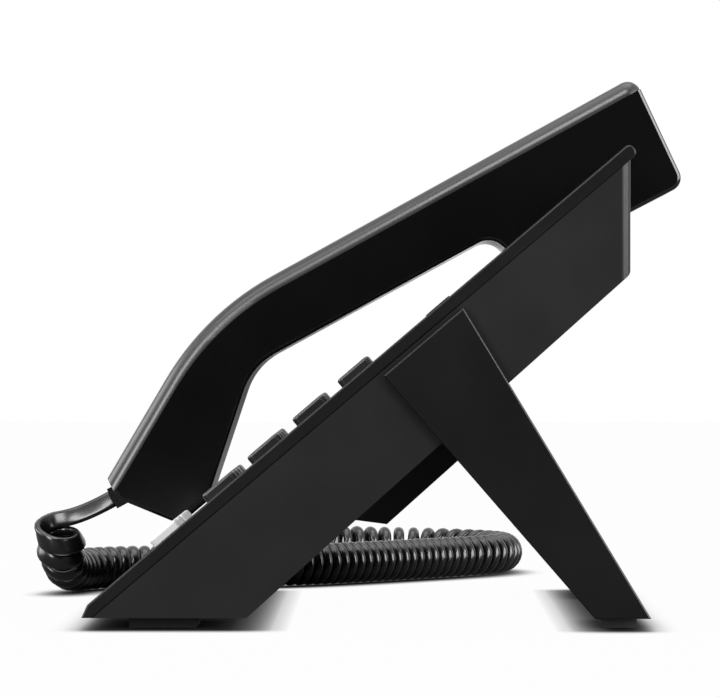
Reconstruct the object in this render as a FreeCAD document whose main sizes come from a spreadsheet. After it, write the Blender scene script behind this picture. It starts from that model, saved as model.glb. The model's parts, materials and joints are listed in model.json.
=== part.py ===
import FreeCAD, Part
import math
import os
import Sketcher

# Desk telephone: a sloping base on a clip-on rear stand, a handset in a cradle on the user's left
# and a curly cord between them. Millimetres, +Z up, front towards -Y, the user's right is +X.
# The base and the handset are drawn in a slope frame: x across, u up the face, v out of the face.

SIZES = {
    # Base
    "body_width": 180.0,
    "tilt": 40.4,
    "front_line": 84.99,
    "foot_proud": 3.4,
    "face_length": 193.0,
    "cover_thick": 3.5,
    "nose_start": 1.9,
    "nose_top": 5.3,
    "cover_end_round": 1.5,
    "foot_length": 46.0,
    "back_start": 170.905,
    "back_depth": 26.4,
    "wall": 2.2,
    "back_corner_round": 2.6,
    "edge_round": 0.5,
    # Keys
    "key_gap": 0.3,
    "key_width": 15.5,
    "key_length": 10.6,
    "key_pitch_x": 19.0,
    "key_pitch_u": 16.0,
    "key_first_x": -1.75,
    "key_first_u": 50.5,
    "key_proud": 2.4,
    "key_corner": 1.6,
    "key_top_round": 0.8,
    "flange_reach": 0.9,
    "flange_thick": 1.2,
    "low_row_u": 31.0,
    "low_row_length": 9.0,
    "rocker_gap": 0.8,
    "rocker_pin": 1.0,
    "soft_row_u": 127.5,
    "soft_length": 7.0,
    "soft_width": 20.0,
    "soft_pitch": 25.0,
    "soft_proud": 0.3,
    # Display and boards
    "lens_x": 28.0,
    "lens_width": 100.0,
    "lens_low": 137.0,
    "lens_height": 48.0,
    "lens_thick": 2.0,
    "lens_sunk": 0.3,
    "lens_gap": 0.1,
    "lcd_border": 4.0,
    "lcd_thick": 3.0,
    "board_left": -28.0,
    "board_width": 104.0,
    "board_low": 24.0,
    "board_length": 134.0,
    "board_top": 8.0,
    "board_thick": 1.6,
    "board_post": 2.5,
    "board_post_inset": 4.8,
    "board_post_low": 30.0,
    "board_post_high": 116.0,
    "mat_thick": 1.2,
    "mat_margin": 3.0,
    # Sound
    "speaker_u": 114.0,
    "speaker_radius": 20.0,
    "speaker_depth": 12.0,
    "speaker_magnet": 11.0,
    "slot_width": 2.0,
    "slot_length": 28.0,
    "slot_pitch": 5.0,
    "mic_x": 64.0,
    "mic_u": 18.0,
    "mic_radius": 3.0,
    "mic_depth": 4.0,
    "mic_hole": 0.8,
    "lamp_x": 68.0,
    "lamp_u": 189.0,
    "lamp_width": 22.0,
    "lamp_height": 3.0,
    # Screws
    "boss_x": 82.5,
    "boss_low": 46.0,
    "boss_high": 142.0,
    "boss_radius": 3.6,
    "boss_meet": 10.0,
    "screw_radius": 1.5,
    "screw_head": 2.8,
    "screw_head_depth": 2.0,
    "screw_grip": 4.8,
    "screw_recess": 1.05,
    # Handset
    "handset_x": -61.0,
    "handset_width": 46.0,
    "handset_wall": 2.2,
    "band_depth": 4.4,
    "handset_edge": 1.2,
    "back_edge": 4.2,
    "rest_gap": 0.35,
    "knee_u": 74.9,
    "knee_v": 43.3,
    "knee_round": 83.0,
    "head_u": 217.0,
    "head_v": 14.3,
    "head_end_u": 207.7,
    "head_end_v": 19.7,
    "head_front_u": 155.6,
    "head_front_v": 7.8,
    "head_round": 4.0,
    "window_u": 154.4,
    "window_v": 5.6,
    "window_round": 6.0,
    "arch_u": 75.5,
    "arch_v": 22.2,
    "arch_round": 20.0,
    "mouth_inner_u": 39.4,
    "mouth_outer_u": 29.1,
    "mouth_round": 2.4,
    "chin_u": 20.0,
    "chin_v": 18.0,
    "tail_u": 21.4,
    "tail_v": 24.7,
    "ear_u": 182.0,
    "ear_radius": 15.0,
    "ear_depth": 6.0,
    "ear_hole": 1.0,
    "ear_hole_ring": 6.0,
    "voice_radius": 3.0,
    "weight_length": 34.0,
    "weight_thick": 7.0,
    # Cradle and hook
    "cradle_gap": 0.8,
    "cradle_wall": 2.0,
    "cradle_front": 153.2,
    "cradle_under": 0.5,
    "hook_u": 163.0,
    "hook_radius": 3.0,
    "hook_stem": 1.5,
    "hook_rise": 3.0,
    "switch_depth": 5.0,
    # Sockets
    "port_width": 15.5,
    "port_height": 13.2,
    "port_depth": 12.0,
    "port_floor_z": 96.5,
    "port_mouth_width": 11.7,
    "port_mouth_height": 8.3,
    "port_mouth_depth": 10.0,
    "lan_x": 8.0,
    "pc_x": 28.0,
    "power_x": 52.0,
    "power_width": 11.0,
    "power_bore": 3.0,
    "power_pin": 1.0,
    "jack_size": 11.0,
    "jack_depth": 14.0,
    "jack_mouth_u": 8.0,
    "jack_mouth_v": 7.0,
    "jack_mouth_depth": 11.0,
    "jack_v": 14.0,
    "handset_jack_u": 72.0,
    "headset_jack_u": 94.0,
    "plug_gap": 0.2,
    "plug_inset": 10.0,
    "plug_out": 11.0,
    "boot_out": 3.0,
    # Stand
    "cheek_gap": 0.3,
    "cheek_thick": 2.5,
    "cheek_front_u": 104.0,
    "cheek_back_u": 131.5,
    "cheek_drop": 4.6,
    "stand_front_y": 52.7,
    "stand_back_y": 67.5,
    "shoe_low": 72.0,
    "shoe_high": 126.0,
    "shoe_thick": 7.4,
    "shoe_half": 55.0,
    "tab_x": 30.0,
    "tab_width": 10.0,
    "tab_thick": 2.5,
    "tab_reach": 5.0,
    "tab_gap": 0.4,
    "pad_width": 30.0,
    "pad_length": 9.0,
    "pad_sunk": 0.8,
    "pad_x": 62.0,
    # Cord
    "strand": 2.6,
    "curl_radius": 5.2,
}

CORD_PARTS = ("curly_cord", "handset_plug", "base_plug")
# Axis of the curls, from the handset's end to the base's end, as x, y from the front line, and z.
CURL_AXIS = [
    (-57.5, -15.2, 20.5),
    (-60.4, -15.2, 14.1),
    (-66.0, -14.6, 9.0),
    (-75.0, -13.0, 6.8),
    (-89.5, -9.6, 6.8),
    (-101.0, 3.6, 6.8),
    (-102.0, 24.0, 6.8),
    (-104.0, 44.0, 6.8),
    (-114.5, 61.5, 6.8),
    (-131.0, 78.0, 6.8),
    (-153.0, 99.0, 6.8),
    (-178.0, 121.0, 6.8),
    (-205.0, 122.0, 6.8),
    (-222.0, 101.0, 7.0),
    (-217.0, 76.0, 7.6),
    (-203.0, 57.0, 9.0),
]
# Spacing of the curls at stations along that axis, as a share of its length and a pitch.
CURL_PITCH = [
    (0.0, 5.8),
    (0.05, 5.6),
    (0.1, 5.0),
    (0.15, 4.6),
    (0.22, 4.1),
    (0.28, 3.5),
    (0.56, 3.5),
    (0.66, 4.4),
    (1.0, 5.2),
]

Vector = FreeCAD.Vector
doc = FreeCAD.newDocument("desk_phone")
sheet = doc.addObject("Spreadsheet::Sheet", "Sizes")
for row, (alias, number) in enumerate(SIZES.items(), start=1):
    sheet.set(f"A{row}", alias)
    sheet.set(f"B{row}", str(number))
    sheet.setAlias(f"B{row}", alias)
doc.recompute()


class Size:
    """A size known both as a number and as the sheet formula that gives it."""

    def __init__(self, number, formula):
        self.number = float(number)
        self.formula = formula

    def __add__(self, other):
        other = as_size(other)
        return Size(self.number + other.number, f"({self.formula} + {other.formula})")

    def __sub__(self, other):
        other = as_size(other)
        return Size(self.number - other.number, f"({self.formula} - {other.formula})")

    def __mul__(self, other):
        other = as_size(other)
        return Size(self.number * other.number, f"({self.formula} * {other.formula})")

    def __truediv__(self, other):
        other = as_size(other)
        return Size(self.number / other.number, f"({self.formula} / {other.formula})")

    def __neg__(self):
        return Size(-self.number, f"(0 - {self.formula})")

    def tan(self):
        return Size(math.tan(math.radians(self.number)), f"tan({self.formula})")

    def sin(self):
        return Size(math.sin(math.radians(self.number)), f"sin({self.formula})")

    def cos(self):
        return Size(math.cos(math.radians(self.number)), f"cos({self.formula})")


class Sheet:
    """Gives each named size of the sheet by its alias."""

    def __getattr__(self, alias):
        return Size(sheet.get(alias), f"Sizes.{alias}")


S = Sheet()


def as_size(value):
    return value if isinstance(value, Size) else Size(value, repr(float(value)))


def add_pad(body, name, outline, start, length, plane="YZ_Plane"):
    """Pads a closed outline of corner points, from start over length along the plane's normal."""
    sketch = body.newObject("Sketcher::SketchObject", name + "_sketch")
    support = [plane_of for plane_of in body.Origin.OriginFeatures if plane_of.Role == plane][0]
    sketch.AttachmentSupport = [(support, "")]
    sketch.MapMode = "FlatFace"
    start = as_size(start)
    sketch.AttachmentOffset = FreeCAD.Placement(Vector(0, 0, start.number), FreeCAD.Rotation())
    sketch.setExpression("AttachmentOffset.Base.z", start.formula)
    corners = [(as_size(across), as_size(along)) for across, along in outline]
    points = [Vector(across.number, along.number, 0) for across, along in corners]
    count = len(points)
    for index in range(count):
        sketch.addGeometry(Part.LineSegment(points[index], points[(index + 1) % count]), False)
    for index in range(count):
        sketch.addConstraint(Sketcher.Constraint("Coincident", index, 2, (index + 1) % count, 1))
    for index, corner in enumerate(corners):
        for kind, value in zip(("DistanceX", "DistanceY"), corner):
            place = sketch.addConstraint(Sketcher.Constraint(kind, -1, 1, index, 1, value.number))
            sketch.setExpression(f"Constraints[{place}]", value.formula)
    pad = body.newObject("PartDesign::Pad", name + "_pad")
    pad.Profile = sketch
    pad.setExpression("Length", as_size(length).formula)
    doc.recompute()
    return body


def prism(name, outline, start, length, plane="YZ_Plane"):
    """A body that is one padded outline."""
    return add_pad(doc.addObject("PartDesign::Body", name), name, outline, start, length, plane)


def round_edges(body, name, radius, chosen):
    """Rounds the edges of a body for which chosen(edge) holds."""
    base = body.Tip
    names = [f"Edge{index}" for index, edge in enumerate(base.Shape.Edges, start=1) if chosen(edge)]
    if not names:
        raise RuntimeError(f"{name}: no edge to round")
    fillet = body.newObject("PartDesign::Fillet", name)
    fillet.Base = (base, names)
    fillet.setExpression("Radius", as_size(radius).formula)
    doc.recompute()
    return body


def across_at(*corners):
    """Chooses the edges across the width that pass through the given u and v."""

    def chosen(edge):
        ends = [vertex.Point for vertex in edge.Vertexes]
        return any(
            all(abs(end.y - u.number) < 0.01 and abs(end.z - v.number) < 0.01 for end in ends)
            for u, v in corners
        )

    return chosen


def rim_at(axis, *levels):
    """Chooses the edges that lie wholly at one of the given levels of an axis."""

    def chosen(edge):
        ends = [getattr(vertex.Point, axis) for vertex in edge.Vertexes]
        return any(all(abs(end - level.number) < 0.01 for end in ends) for level in levels)

    return chosen


def rectangle(centre_a, centre_b, width, height):
    half_a = as_size(width) / 2
    half_b = as_size(height) / 2
    centre_a = as_size(centre_a)
    centre_b = as_size(centre_b)
    return [
        (centre_a - half_a, centre_b - half_b),
        (centre_a + half_a, centre_b - half_b),
        (centre_a + half_a, centre_b + half_b),
        (centre_a - half_a, centre_b + half_b),
    ]


def block(name, low, span):
    """A box from its low corner and its spans along x, u and v."""
    box = doc.addObject("Part::Box", name)
    for side, value in zip(("Length", "Width", "Height"), span):
        box.setExpression(side, as_size(value).formula)
    box.Placement.Base = Vector(*(as_size(value).number for value in low))
    return box


def rod(name, foot, radius, length, axis=Vector(0, 0, 1)):
    """A cylinder from its foot along an axis."""
    cylinder = doc.addObject("Part::Cylinder", name)
    cylinder.setExpression("Radius", as_size(radius).formula)
    cylinder.setExpression("Height", as_size(length).formula)
    turn = FreeCAD.Rotation(Vector(0, 0, 1), axis)
    cylinder.Placement = FreeCAD.Placement(Vector(*(as_size(value).number for value in foot)), turn)
    return cylinder


def fused(name, pieces):
    union = doc.addObject("Part::MultiFuse", name)
    union.Shapes = pieces
    return union


def cut(name, base, tools):
    """The base less every tool."""
    result = doc.addObject("Part::Cut", name)
    result.Base = base
    result.Tool = tools[0] if len(tools) == 1 else fused(name + "_tools", tools)
    doc.recompute()
    return result


def common(name, base, tool):
    result = doc.addObject("Part::Common", name)
    result.Base = base
    result.Tool = tool
    doc.recompute()
    return result


# The slope frame stands on the front line, lifted by the rubber pads.
SLOPE = FreeCAD.Placement(
    Vector(0, -S.front_line.number, S.foot_proud.number),
    FreeCAD.Rotation(Vector(1, 0, 0), S.tilt.number),
)
LEVEL = FreeCAD.Placement(Vector(0, -S.front_line.number, 0), FreeCAD.Rotation())
parts = {}


def keep(name, piece, frame=SLOPE):
    """Names a finished sub-part and puts it into the shared frame."""
    piece.Label = name
    piece.Placement = frame.multiply(piece.Placement)
    parts[name] = piece


def in_slope(piece):
    """Turns a level piece into the slope frame, so that it can be joined with sloping pieces."""
    piece.Placement = SLOPE.inverse().multiply(LEVEL).multiply(piece.Placement)
    return piece


# Shared outlines
half_width = S.body_width / 2
seat = -S.cover_thick
rise = S.tilt.tan()
floor_corner = (S.foot_length * S.tilt.cos(), -S.foot_length * S.tilt.sin())
back_corner = (S.back_start, -S.back_depth)
back_top = (S.back_start + (S.back_depth - S.cover_thick) * rise, seat)
belly_fall = (floor_corner[1] - back_corner[1]) / (floor_corner[0] - back_corner[0])


def belly(u, below=0.0):
    """Height v of the underside at u, or of a line the given depth below it."""
    return back_corner[1] + (as_size(u) - back_corner[0]) * belly_fall - below


def back_wall(v):
    """Place u of the upright back wall at height v."""
    return S.back_start + (S.back_depth + v) * rise


def head_under(u):
    """Height v of the underside of the handset's head at u."""
    fall = (S.head_end_v - S.head_front_v) / (S.head_end_u - S.head_front_u)
    return -S.head_front_v - (as_size(u) - S.head_front_u) * fall


cradle_half = S.handset_width / 2 + S.cradle_gap
cradle_low_x = S.handset_x - cradle_half
cradle_floor_front = head_under(S.cradle_front) - S.cradle_under
far_up = S.face_length + 40.0


def key_outline(centre_x, centre_u, width, length, reach=0.0):
    more = as_size(reach) * 2
    return rectangle(centre_x, centre_u, as_size(width) + more, as_size(length) + more)


# Keys: name, centre across, centre up the face, width, length and height above the face
def column(index):
    return S.key_first_x + S.key_pitch_x * index


def key_row(index):
    return S.key_first_u + S.key_pitch_u * index


DIAL_ROWS = (
    ("key_star", "key_0", "key_hash", "key_redial"),
    ("key_7", "key_8", "key_9", "key_hold"),
    ("key_4", "key_5", "key_6", "key_conference"),
    ("key_1", "key_2", "key_3", "key_transfer"),
)
KEYS = [
    (name, column(across), key_row(up), S.key_width, S.key_length, S.key_proud)
    for up, names in enumerate(DIAL_ROWS)
    for across, name in enumerate(names)
]
KEYS += [
    (name, column(across), S.low_row_u, S.key_width, S.low_row_length, S.key_proud)
    for across, name in ((2, "key_mute"), (3, "key_speaker"))
]
KEYS += [
    (
        f"soft_key_{index + 1}",
        S.lens_x + S.soft_pitch * (index - 1.5),
        S.soft_row_u,
        S.soft_width,
        S.soft_length,
        S.soft_proud,
    )
    for index in range(4)
]
rocker_x = (column(0) + column(1)) / 2
rocker_width = S.key_pitch_x + S.key_width
flange_top = seat - S.key_gap
flange_low = flange_top - S.flange_thick
rocker_axis_v = flange_top - S.rocker_pin


def make_keys():
    """Each key is a cap through the cover with a flange under it."""
    for name, x, u, width, length, proud in KEYS:
        cap = prism(name, key_outline(x, u, width, length), flange_low, proud - flange_low, "XY_Plane")
        sides = [x - width / 2, x + width / 2]
        ends = [u - length / 2, u + length / 2]

        def corner(edge, sides=sides, ends=ends):
            points = [vertex.Point for vertex in edge.Vertexes]
            return any(
                all(abs(p.x - a.number) < 0.01 and abs(p.y - b.number) < 0.01 for p in points)
                for a in sides
                for b in ends
            )

        round_edges(cap, name + "_corners", S.key_corner, corner)
        if proud.number > S.key_top_round.number:
            round_edges(cap, name + "_top", S.key_top_round, rim_at("z", proud))
        outline = key_outline(x, u, width, length, S.flange_reach)
        keep(name, add_pad(cap, name + "_flange", outline, flange_low, S.flange_thick, "XY_Plane"))


def make_rocker():
    """The volume rocker tilts about a pin that runs up the face under its middle."""
    outline = key_outline(rocker_x, S.low_row_u, rocker_width, S.low_row_length)
    cap = prism("rocker_cap", outline, flange_low, S.key_proud - flange_low, "XY_Plane")
    round_edges(cap, "rocker_top", S.key_top_round, rim_at("z", S.key_proud))
    pin_length = S.low_row_length + S.flange_reach * 4
    pin = rod("rocker_pin", (rocker_x, S.low_row_u - pin_length / 2, rocker_axis_v), S.rocker_pin, pin_length,
              Vector(0, 1, 0))
    keep("volume_rocker", fused("volume_rocker", [cap, pin]))


def boss_places():
    return [(side * S.boss_x.number, u) for side in (-1, 1) for u in (S.boss_low, S.boss_high)]


def make_front_cover():
    """Sloping face plate with its openings and screw posts."""
    profile = [
        (S.nose_start, -S.nose_start * rise),
        (S.nose_top, 0.0),
        (S.face_length, 0.0),
        (S.face_length, seat),
        (S.cover_thick / rise, seat),
    ]
    plate = prism("cover_plate", profile, -half_width, S.body_width)
    ends = across_at((S.face_length, as_size(0.0)), (S.face_length, seat))
    round_edges(plate, "cover_end", S.cover_end_round, ends)
    round_edges(plate, "cover_sides", S.edge_round, rim_at("x", half_width, -half_width))
    posts = [
        rod(f"cover_post_{index}", (x, u, -S.boss_meet), S.boss_radius, S.boss_meet + seat)
        for index, (x, u) in enumerate(boss_places())
    ]
    board_sides = (S.board_left + S.board_post_inset, S.board_left + S.board_width - S.board_post_inset)
    posts += [
        rod(f"board_post_{side}_{end}", (x, u, -S.board_top), S.board_post, S.board_top + seat)
        for side, x in enumerate(board_sides)
        for end, u in enumerate((S.board_post_low, S.board_post_high))
    ]
    tools = [
        rod(f"cover_thread_{index}", (x, u, -S.boss_meet), S.screw_radius, S.boss_meet + seat)
        for index, (x, u) in enumerate(boss_places())
    ]
    through = S.cover_thick * 3
    low = seat * 2
    for name, x, u, width, length, _ in KEYS:
        outline = key_outline(x, u, width, length, S.key_gap)
        tools.append(prism(name + "_hole", outline, low, through, "XY_Plane"))
    hole_width = rocker_width + S.rocker_gap * 2
    rocker_hole = rectangle(rocker_x, S.low_row_u, hole_width, S.low_row_length + S.key_gap * 2)
    tools.append(prism("rocker_hole", rocker_hole, low, through, "XY_Plane"))
    lens_hole = rectangle(S.lens_x, S.lens_low + S.lens_height / 2, S.lens_width, S.lens_height)
    tools.append(prism("lens_hole", lens_hole, low, through, "XY_Plane"))
    lamp_hole = rectangle(S.lamp_x, S.lamp_u, S.lamp_width, S.lamp_height)
    tools.append(prism("lamp_hole", lamp_hole, low, through, "XY_Plane"))
    tools.append(rod("voice_hole", (S.mic_x, S.mic_u, low), S.mic_hole, through))
    cradle_span = (cradle_half * 2, far_up, through)
    tools.append(block("cradle_hole", (cradle_low_x, S.cradle_front, low), cradle_span))
    for index in range(-3, 4):
        slot = rectangle(S.handset_x, S.speaker_u + S.slot_pitch * index, S.slot_length, S.slot_width)
        tools.append(prism(f"sound_slot_{index + 3}", slot, low, through, "XY_Plane"))
    keep("front_cover", cut("front_cover", fused("cover_solid", [plate] + posts), tools))


def make_housing():
    """Tub under the cover: belly, side walls, upright back wall and flat foot."""
    outer = [(S.cover_thick / rise, seat), back_top, back_corner, floor_corner]
    shell = prism("housing_shell", outer, -half_width, S.body_width)

    def back_edge(edge):
        """The back wall's lower edge and its two upright edges."""
        ends = [vertex.Point for vertex in edge.Vertexes]
        on_back = all(abs(end.y - back_wall(as_size(end.z)).number) < 0.01 for end in ends)
        return on_back and not across_at(back_top)(edge)

    round_edges(shell, "housing_back_edges", S.back_corner_round, back_edge)
    slant = S.wall / S.tilt.cos()
    inner_front = S.cover_thick / rise + S.wall * 2
    inner_low = floor_corner[0] + S.wall
    inner = [
        (inner_front, 1.0),
        (back_wall(as_size(1.0)) - slant, 1.0),
        (back_wall(belly(S.back_start) + S.wall) - slant, belly(S.back_start) + S.wall),
        (inner_low, belly(inner_low) + S.wall),
        (inner_front, -inner_front * rise + S.wall * 2),
    ]
    tools = [prism("housing_inside", inner, -(half_width - S.wall), S.body_width - S.wall * 2)]
    # Way for the cradle through the top of the back wall
    gap = S.cradle_wall + S.key_gap
    end = S.back_start + S.back_depth
    cradle_way = [
        (S.cradle_front - gap, 1.0),
        (S.cradle_front - gap, head_under(S.cradle_front - gap) - S.cradle_under - gap),
        (end, head_under(end) - S.cradle_under - gap),
        (end, 1.0),
    ]
    tools.append(prism("cradle_way", cradle_way, cradle_low_x - gap, cradle_half * 2 + gap * 2))
    for name, x, width in (("lan", S.lan_x, S.port_width), ("pc", S.pc_x, S.port_width),
                           ("power", S.power_x, S.power_width)):
        low = (x - width / 2, S.foot_length, S.port_floor_z)
        tools.append(in_slope(block(name + "_way", low, (width, S.body_width, S.port_height))))
    for name, u in (("handset", S.handset_jack_u), ("headset", S.headset_jack_u)):
        low = (-S.body_width, u - S.jack_size / 2, -S.jack_v - S.jack_size / 2)
        tools.append(block(name + "_jack_way", low, (half_width + S.wall * 2, S.jack_size, S.jack_size)))
    for index, (x, u) in enumerate(tab_places()):
        outline = rectangle(x, u, S.tab_width + S.tab_gap * 2, S.tab_thick + S.tab_gap * 2)
        tools.append(prism(f"tab_slot_{index}", outline, -S.boss_x, S.boss_x - S.boss_meet, "XY_Plane"))
    for index, x in enumerate(pad_sides()):
        low = (x - S.pad_width / 2, S.nose_top + S.pad_length, S.foot_proud - S.pad_sunk)
        span = (S.pad_width, S.pad_length * 2, S.pad_sunk * 2)
        tools.append(in_slope(block(f"pad_seat_{index}", low, span)))
    bosses = []
    for index, (x, u) in enumerate(boss_places()):
        foot = belly(u) + S.wall / 2
        bosses.append(rod(f"boss_{index}", (x, u, foot), S.boss_radius, -S.boss_meet - foot))
        head = (x, u, belly(u) - S.wall)
        tools.append(rod(f"boss_bore_{index}", head, S.screw_radius, S.back_depth * 2))
        tools.append(rod(f"boss_sink_{index}", head, S.screw_head, S.wall + S.screw_head_depth))
    hollow = cut("housing_hollow", shell, tools[:1])
    keep("base_housing", cut("base_housing", fused("housing_solid", [hollow] + bosses), tools[1:]))


def pad_sides():
    return [S.pad_x, -S.pad_x]


def tab_places():
    tab_u = (S.shoe_low + S.pad_length * 2, S.shoe_high - S.pad_length)
    return [(S.tab_x * side, u) for side in (-1, 1) for u in tab_u]


def make_screws():
    screws = []
    for index, (x, u) in enumerate(boss_places()):
        seat_v = belly(u) + S.screw_head_depth
        shank_length = -S.boss_meet - seat_v + S.screw_grip
        shank = rod(f"screw_shank_{index}", (x, u, seat_v), S.screw_radius, shank_length)
        head = rod(f"screw_head_{index}", (x, u, belly(u)), S.screw_head, S.screw_head_depth)
        recess = rod(f"screw_recess_{index}", (x, u, belly(u)), S.screw_recess, S.screw_head_depth / 2)
        screws.append(cut(f"screw_{index}", fused(f"screw_solid_{index}", [shank, head]), [recess]))
    group = doc.addObject("Part::Compound", "housing_screws")
    group.Links = screws
    keep("housing_screws", group)


def make_display_and_boards():
    lens_top = -S.lens_sunk
    lens = rectangle(S.lens_x, S.lens_low + S.lens_height / 2, S.lens_width - S.lens_gap * 2,
                     S.lens_height - S.lens_gap * 2)
    keep("display_lens", prism("display_lens", lens, lens_top - S.lens_thick, S.lens_thick, "XY_Plane"))
    screen = rectangle(S.lens_x, S.lens_low + S.lens_height / 2, S.lens_width - S.lcd_border * 2,
                       S.lens_height - S.lcd_border * 2)
    low = lens_top - S.lens_thick - S.lcd_thick
    keep("lcd_panel", prism("lcd_panel", screen, low, S.lcd_thick, "XY_Plane"))
    board = block("main_board", (S.board_left, S.board_low, -S.board_top - S.board_thick),
                  (S.board_width, S.board_length, S.board_thick))
    keep("main_board", board)
    mat_low = S.low_row_u - S.low_row_length / 2 - S.mat_margin
    mat_high = key_row(3) + S.key_length / 2 + S.mat_margin
    mat_left = column(0) - S.key_width / 2 - S.mat_margin
    mat_right = column(3) + S.key_width / 2 + S.mat_margin
    mat_span = (mat_right - mat_left, mat_high - mat_low, S.mat_thick)
    mat = block("keypad_mat", (mat_left, mat_low, -S.board_top), mat_span)
    keep("keypad_mat", mat)
    lamp = rectangle(S.lamp_x, S.lamp_u, S.lamp_width - S.lens_gap * 2, S.lamp_height - S.lens_gap * 2)
    lamp_body = prism("message_lamp", lamp, seat, S.cover_thick, "XY_Plane")
    keep("message_lamp", lamp_body)


def make_sound():
    """Hands-free loudspeaker behind the slots, and the hands-free microphone behind its hole."""
    basket = rod("speaker_basket", (S.handset_x, S.speaker_u, seat - S.speaker_depth / 2), S.speaker_radius,
                 S.speaker_depth / 2)
    magnet = rod("speaker_magnet", (S.handset_x, S.speaker_u, seat - S.speaker_depth), S.speaker_magnet,
                 S.speaker_depth)
    keep("loudspeaker", fused("loudspeaker", [basket, magnet]))
    mic_foot = (S.mic_x, S.mic_u, seat - S.mic_depth)
    keep("hands_free_microphone", rod("hands_free_microphone", mic_foot, S.mic_radius, S.mic_depth))


def make_cradle():
    """Sunk seat for the head of the handset, open at the top of the face."""
    wall = S.cradle_wall
    front = S.cradle_front - wall
    floor_front = head_under(front) - S.cradle_under - wall
    # The floor meets the upright back wall where both lines agree.
    fall = (S.head_end_v - S.head_front_v) / (S.head_end_u - S.head_front_u)
    low_end = (back_wall(floor_front) + fall * rise * front) / (fall * rise + 1.0)
    floor_end = head_under(low_end) - S.cradle_under - wall
    outer = [(front, seat), (front, floor_front), (low_end, floor_end), back_top]
    tub = prism("cradle_tub", outer, cradle_low_x - wall, cradle_half * 2 + wall * 2)
    inner = [
        (S.cradle_front, S.cover_thick),
        (S.cradle_front, cradle_floor_front),
        (far_up, head_under(far_up) - S.cradle_under),
        (far_up, S.cover_thick),
    ]
    hollow = prism("cradle_hollow", inner, cradle_low_x, cradle_half * 2)
    hole_foot = (S.handset_x, S.hook_u, -half_width)
    stem_hole = rod("hook_hole", hole_foot, S.hook_radius + S.key_gap, S.body_width)
    keep("handset_cradle", cut("handset_cradle", tub, [hollow, stem_hole]))


def make_hook():
    """Plunger that the handset's head holds down, and the switch that it works."""
    top = head_under(S.hook_u) - S.rest_gap - S.hook_radius * 0.25
    floor_under = head_under(S.hook_u - S.hook_radius) - S.cradle_under - S.cradle_wall
    switch_top = floor_under - S.hook_rise
    stem_low = switch_top - S.switch_depth / 2
    button = rod("hook_button", (S.handset_x, S.hook_u, switch_top + S.key_gap), S.hook_radius,
                 top - switch_top - S.key_gap)
    stem = rod("hook_stem", (S.handset_x, S.hook_u, stem_low), S.hook_stem, top - stem_low)
    keep("hook_plunger", fused("hook_plunger", [button, stem]))
    side = S.hook_radius * 4
    base = block("switch_case", (S.handset_x - side / 2, S.hook_u - side / 2, switch_top - S.switch_depth),
                 (side, side, S.switch_depth))
    ears = [
        block(f"switch_ear_{index}", (x, S.hook_u - side / 2, switch_top - S.switch_depth),
              (S.cradle_wall, S.hook_radius, S.switch_depth + S.hook_rise))
        for index, x in enumerate((S.handset_x - side / 2, S.handset_x + side / 2 - S.cradle_wall))
    ]
    bore_foot = (S.handset_x, S.hook_u, stem_low - S.key_gap)
    bore = rod("switch_bore", bore_foot, S.hook_stem + S.key_gap, S.switch_depth)
    keep("hook_switch", cut("hook_switch", fused("switch_solid", [base] + ears), [bore]))


def make_sockets():
    """Network, second network and power sockets on the back wall, and two jacks on the left wall."""
    back_y = S.back_start * S.tilt.cos() + S.back_depth * S.tilt.sin()
    for name, x in (("lan_port", S.lan_x), ("pc_port", S.pc_x)):
        low = (x - S.port_width / 2, back_y - S.port_depth, S.port_floor_z)
        case = block(name + "_case", low, (S.port_width, S.port_depth, S.port_height))
        margin = (S.port_height - S.port_mouth_height) / 2
        mouth_low = (x - S.port_mouth_width / 2, back_y - S.port_mouth_depth, S.port_floor_z + margin)
        mouth_span = (S.port_mouth_width, S.port_mouth_depth * 2, S.port_mouth_height)
        mouth = block(name + "_mouth", mouth_low, mouth_span)
        keep(name, cut(name, case, [mouth]), LEVEL)
    centre_z = S.port_floor_z + S.port_height / 2
    case = block("power_case", (S.power_x - S.power_width / 2, back_y - S.port_depth, S.port_floor_z),
                 (S.power_width, S.port_depth, S.port_height))
    backwards = Vector(0, 1, 0)
    mouth_foot = (S.power_x, back_y - S.port_mouth_depth, centre_z)
    mouth = rod("power_mouth", mouth_foot, S.power_bore, S.port_depth * 2, backwards)
    pin = rod("power_contact", (S.power_x, back_y - S.port_mouth_depth - S.wall / 2, centre_z), S.power_pin,
              S.port_mouth_depth, backwards)
    keep("power_jack", fused("power_jack", [cut("power_socket", case, [mouth]), pin]), LEVEL)
    for name, u in (("handset_jack", S.handset_jack_u), ("headset_jack", S.headset_jack_u)):
        low = (-half_width, u - S.jack_size / 2, -S.jack_v - S.jack_size / 2)
        case = block(name + "_case", low, (S.jack_depth, S.jack_size, S.jack_size))
        mouth_low = (-half_width - S.wall, u - S.jack_mouth_u / 2, -S.jack_v - S.jack_mouth_v / 2)
        mouth_span = (S.jack_mouth_depth + S.wall, S.jack_mouth_u, S.jack_mouth_v)
        mouth = block(name + "_mouth", mouth_low, mouth_span)
        keep(name, cut(name, case, [mouth]))


handset_low_x = S.handset_x - S.handset_width / 2
mouth_v = S.rest_gap
OUTER_LINE = [(S.tail_u, S.tail_v), (S.knee_u, S.knee_v), (S.head_u, S.head_v)]


def lowered(corner, depth):
    """A corner of the handset's back line moved down by a depth."""
    return (corner[0], corner[1] - depth)


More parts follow.
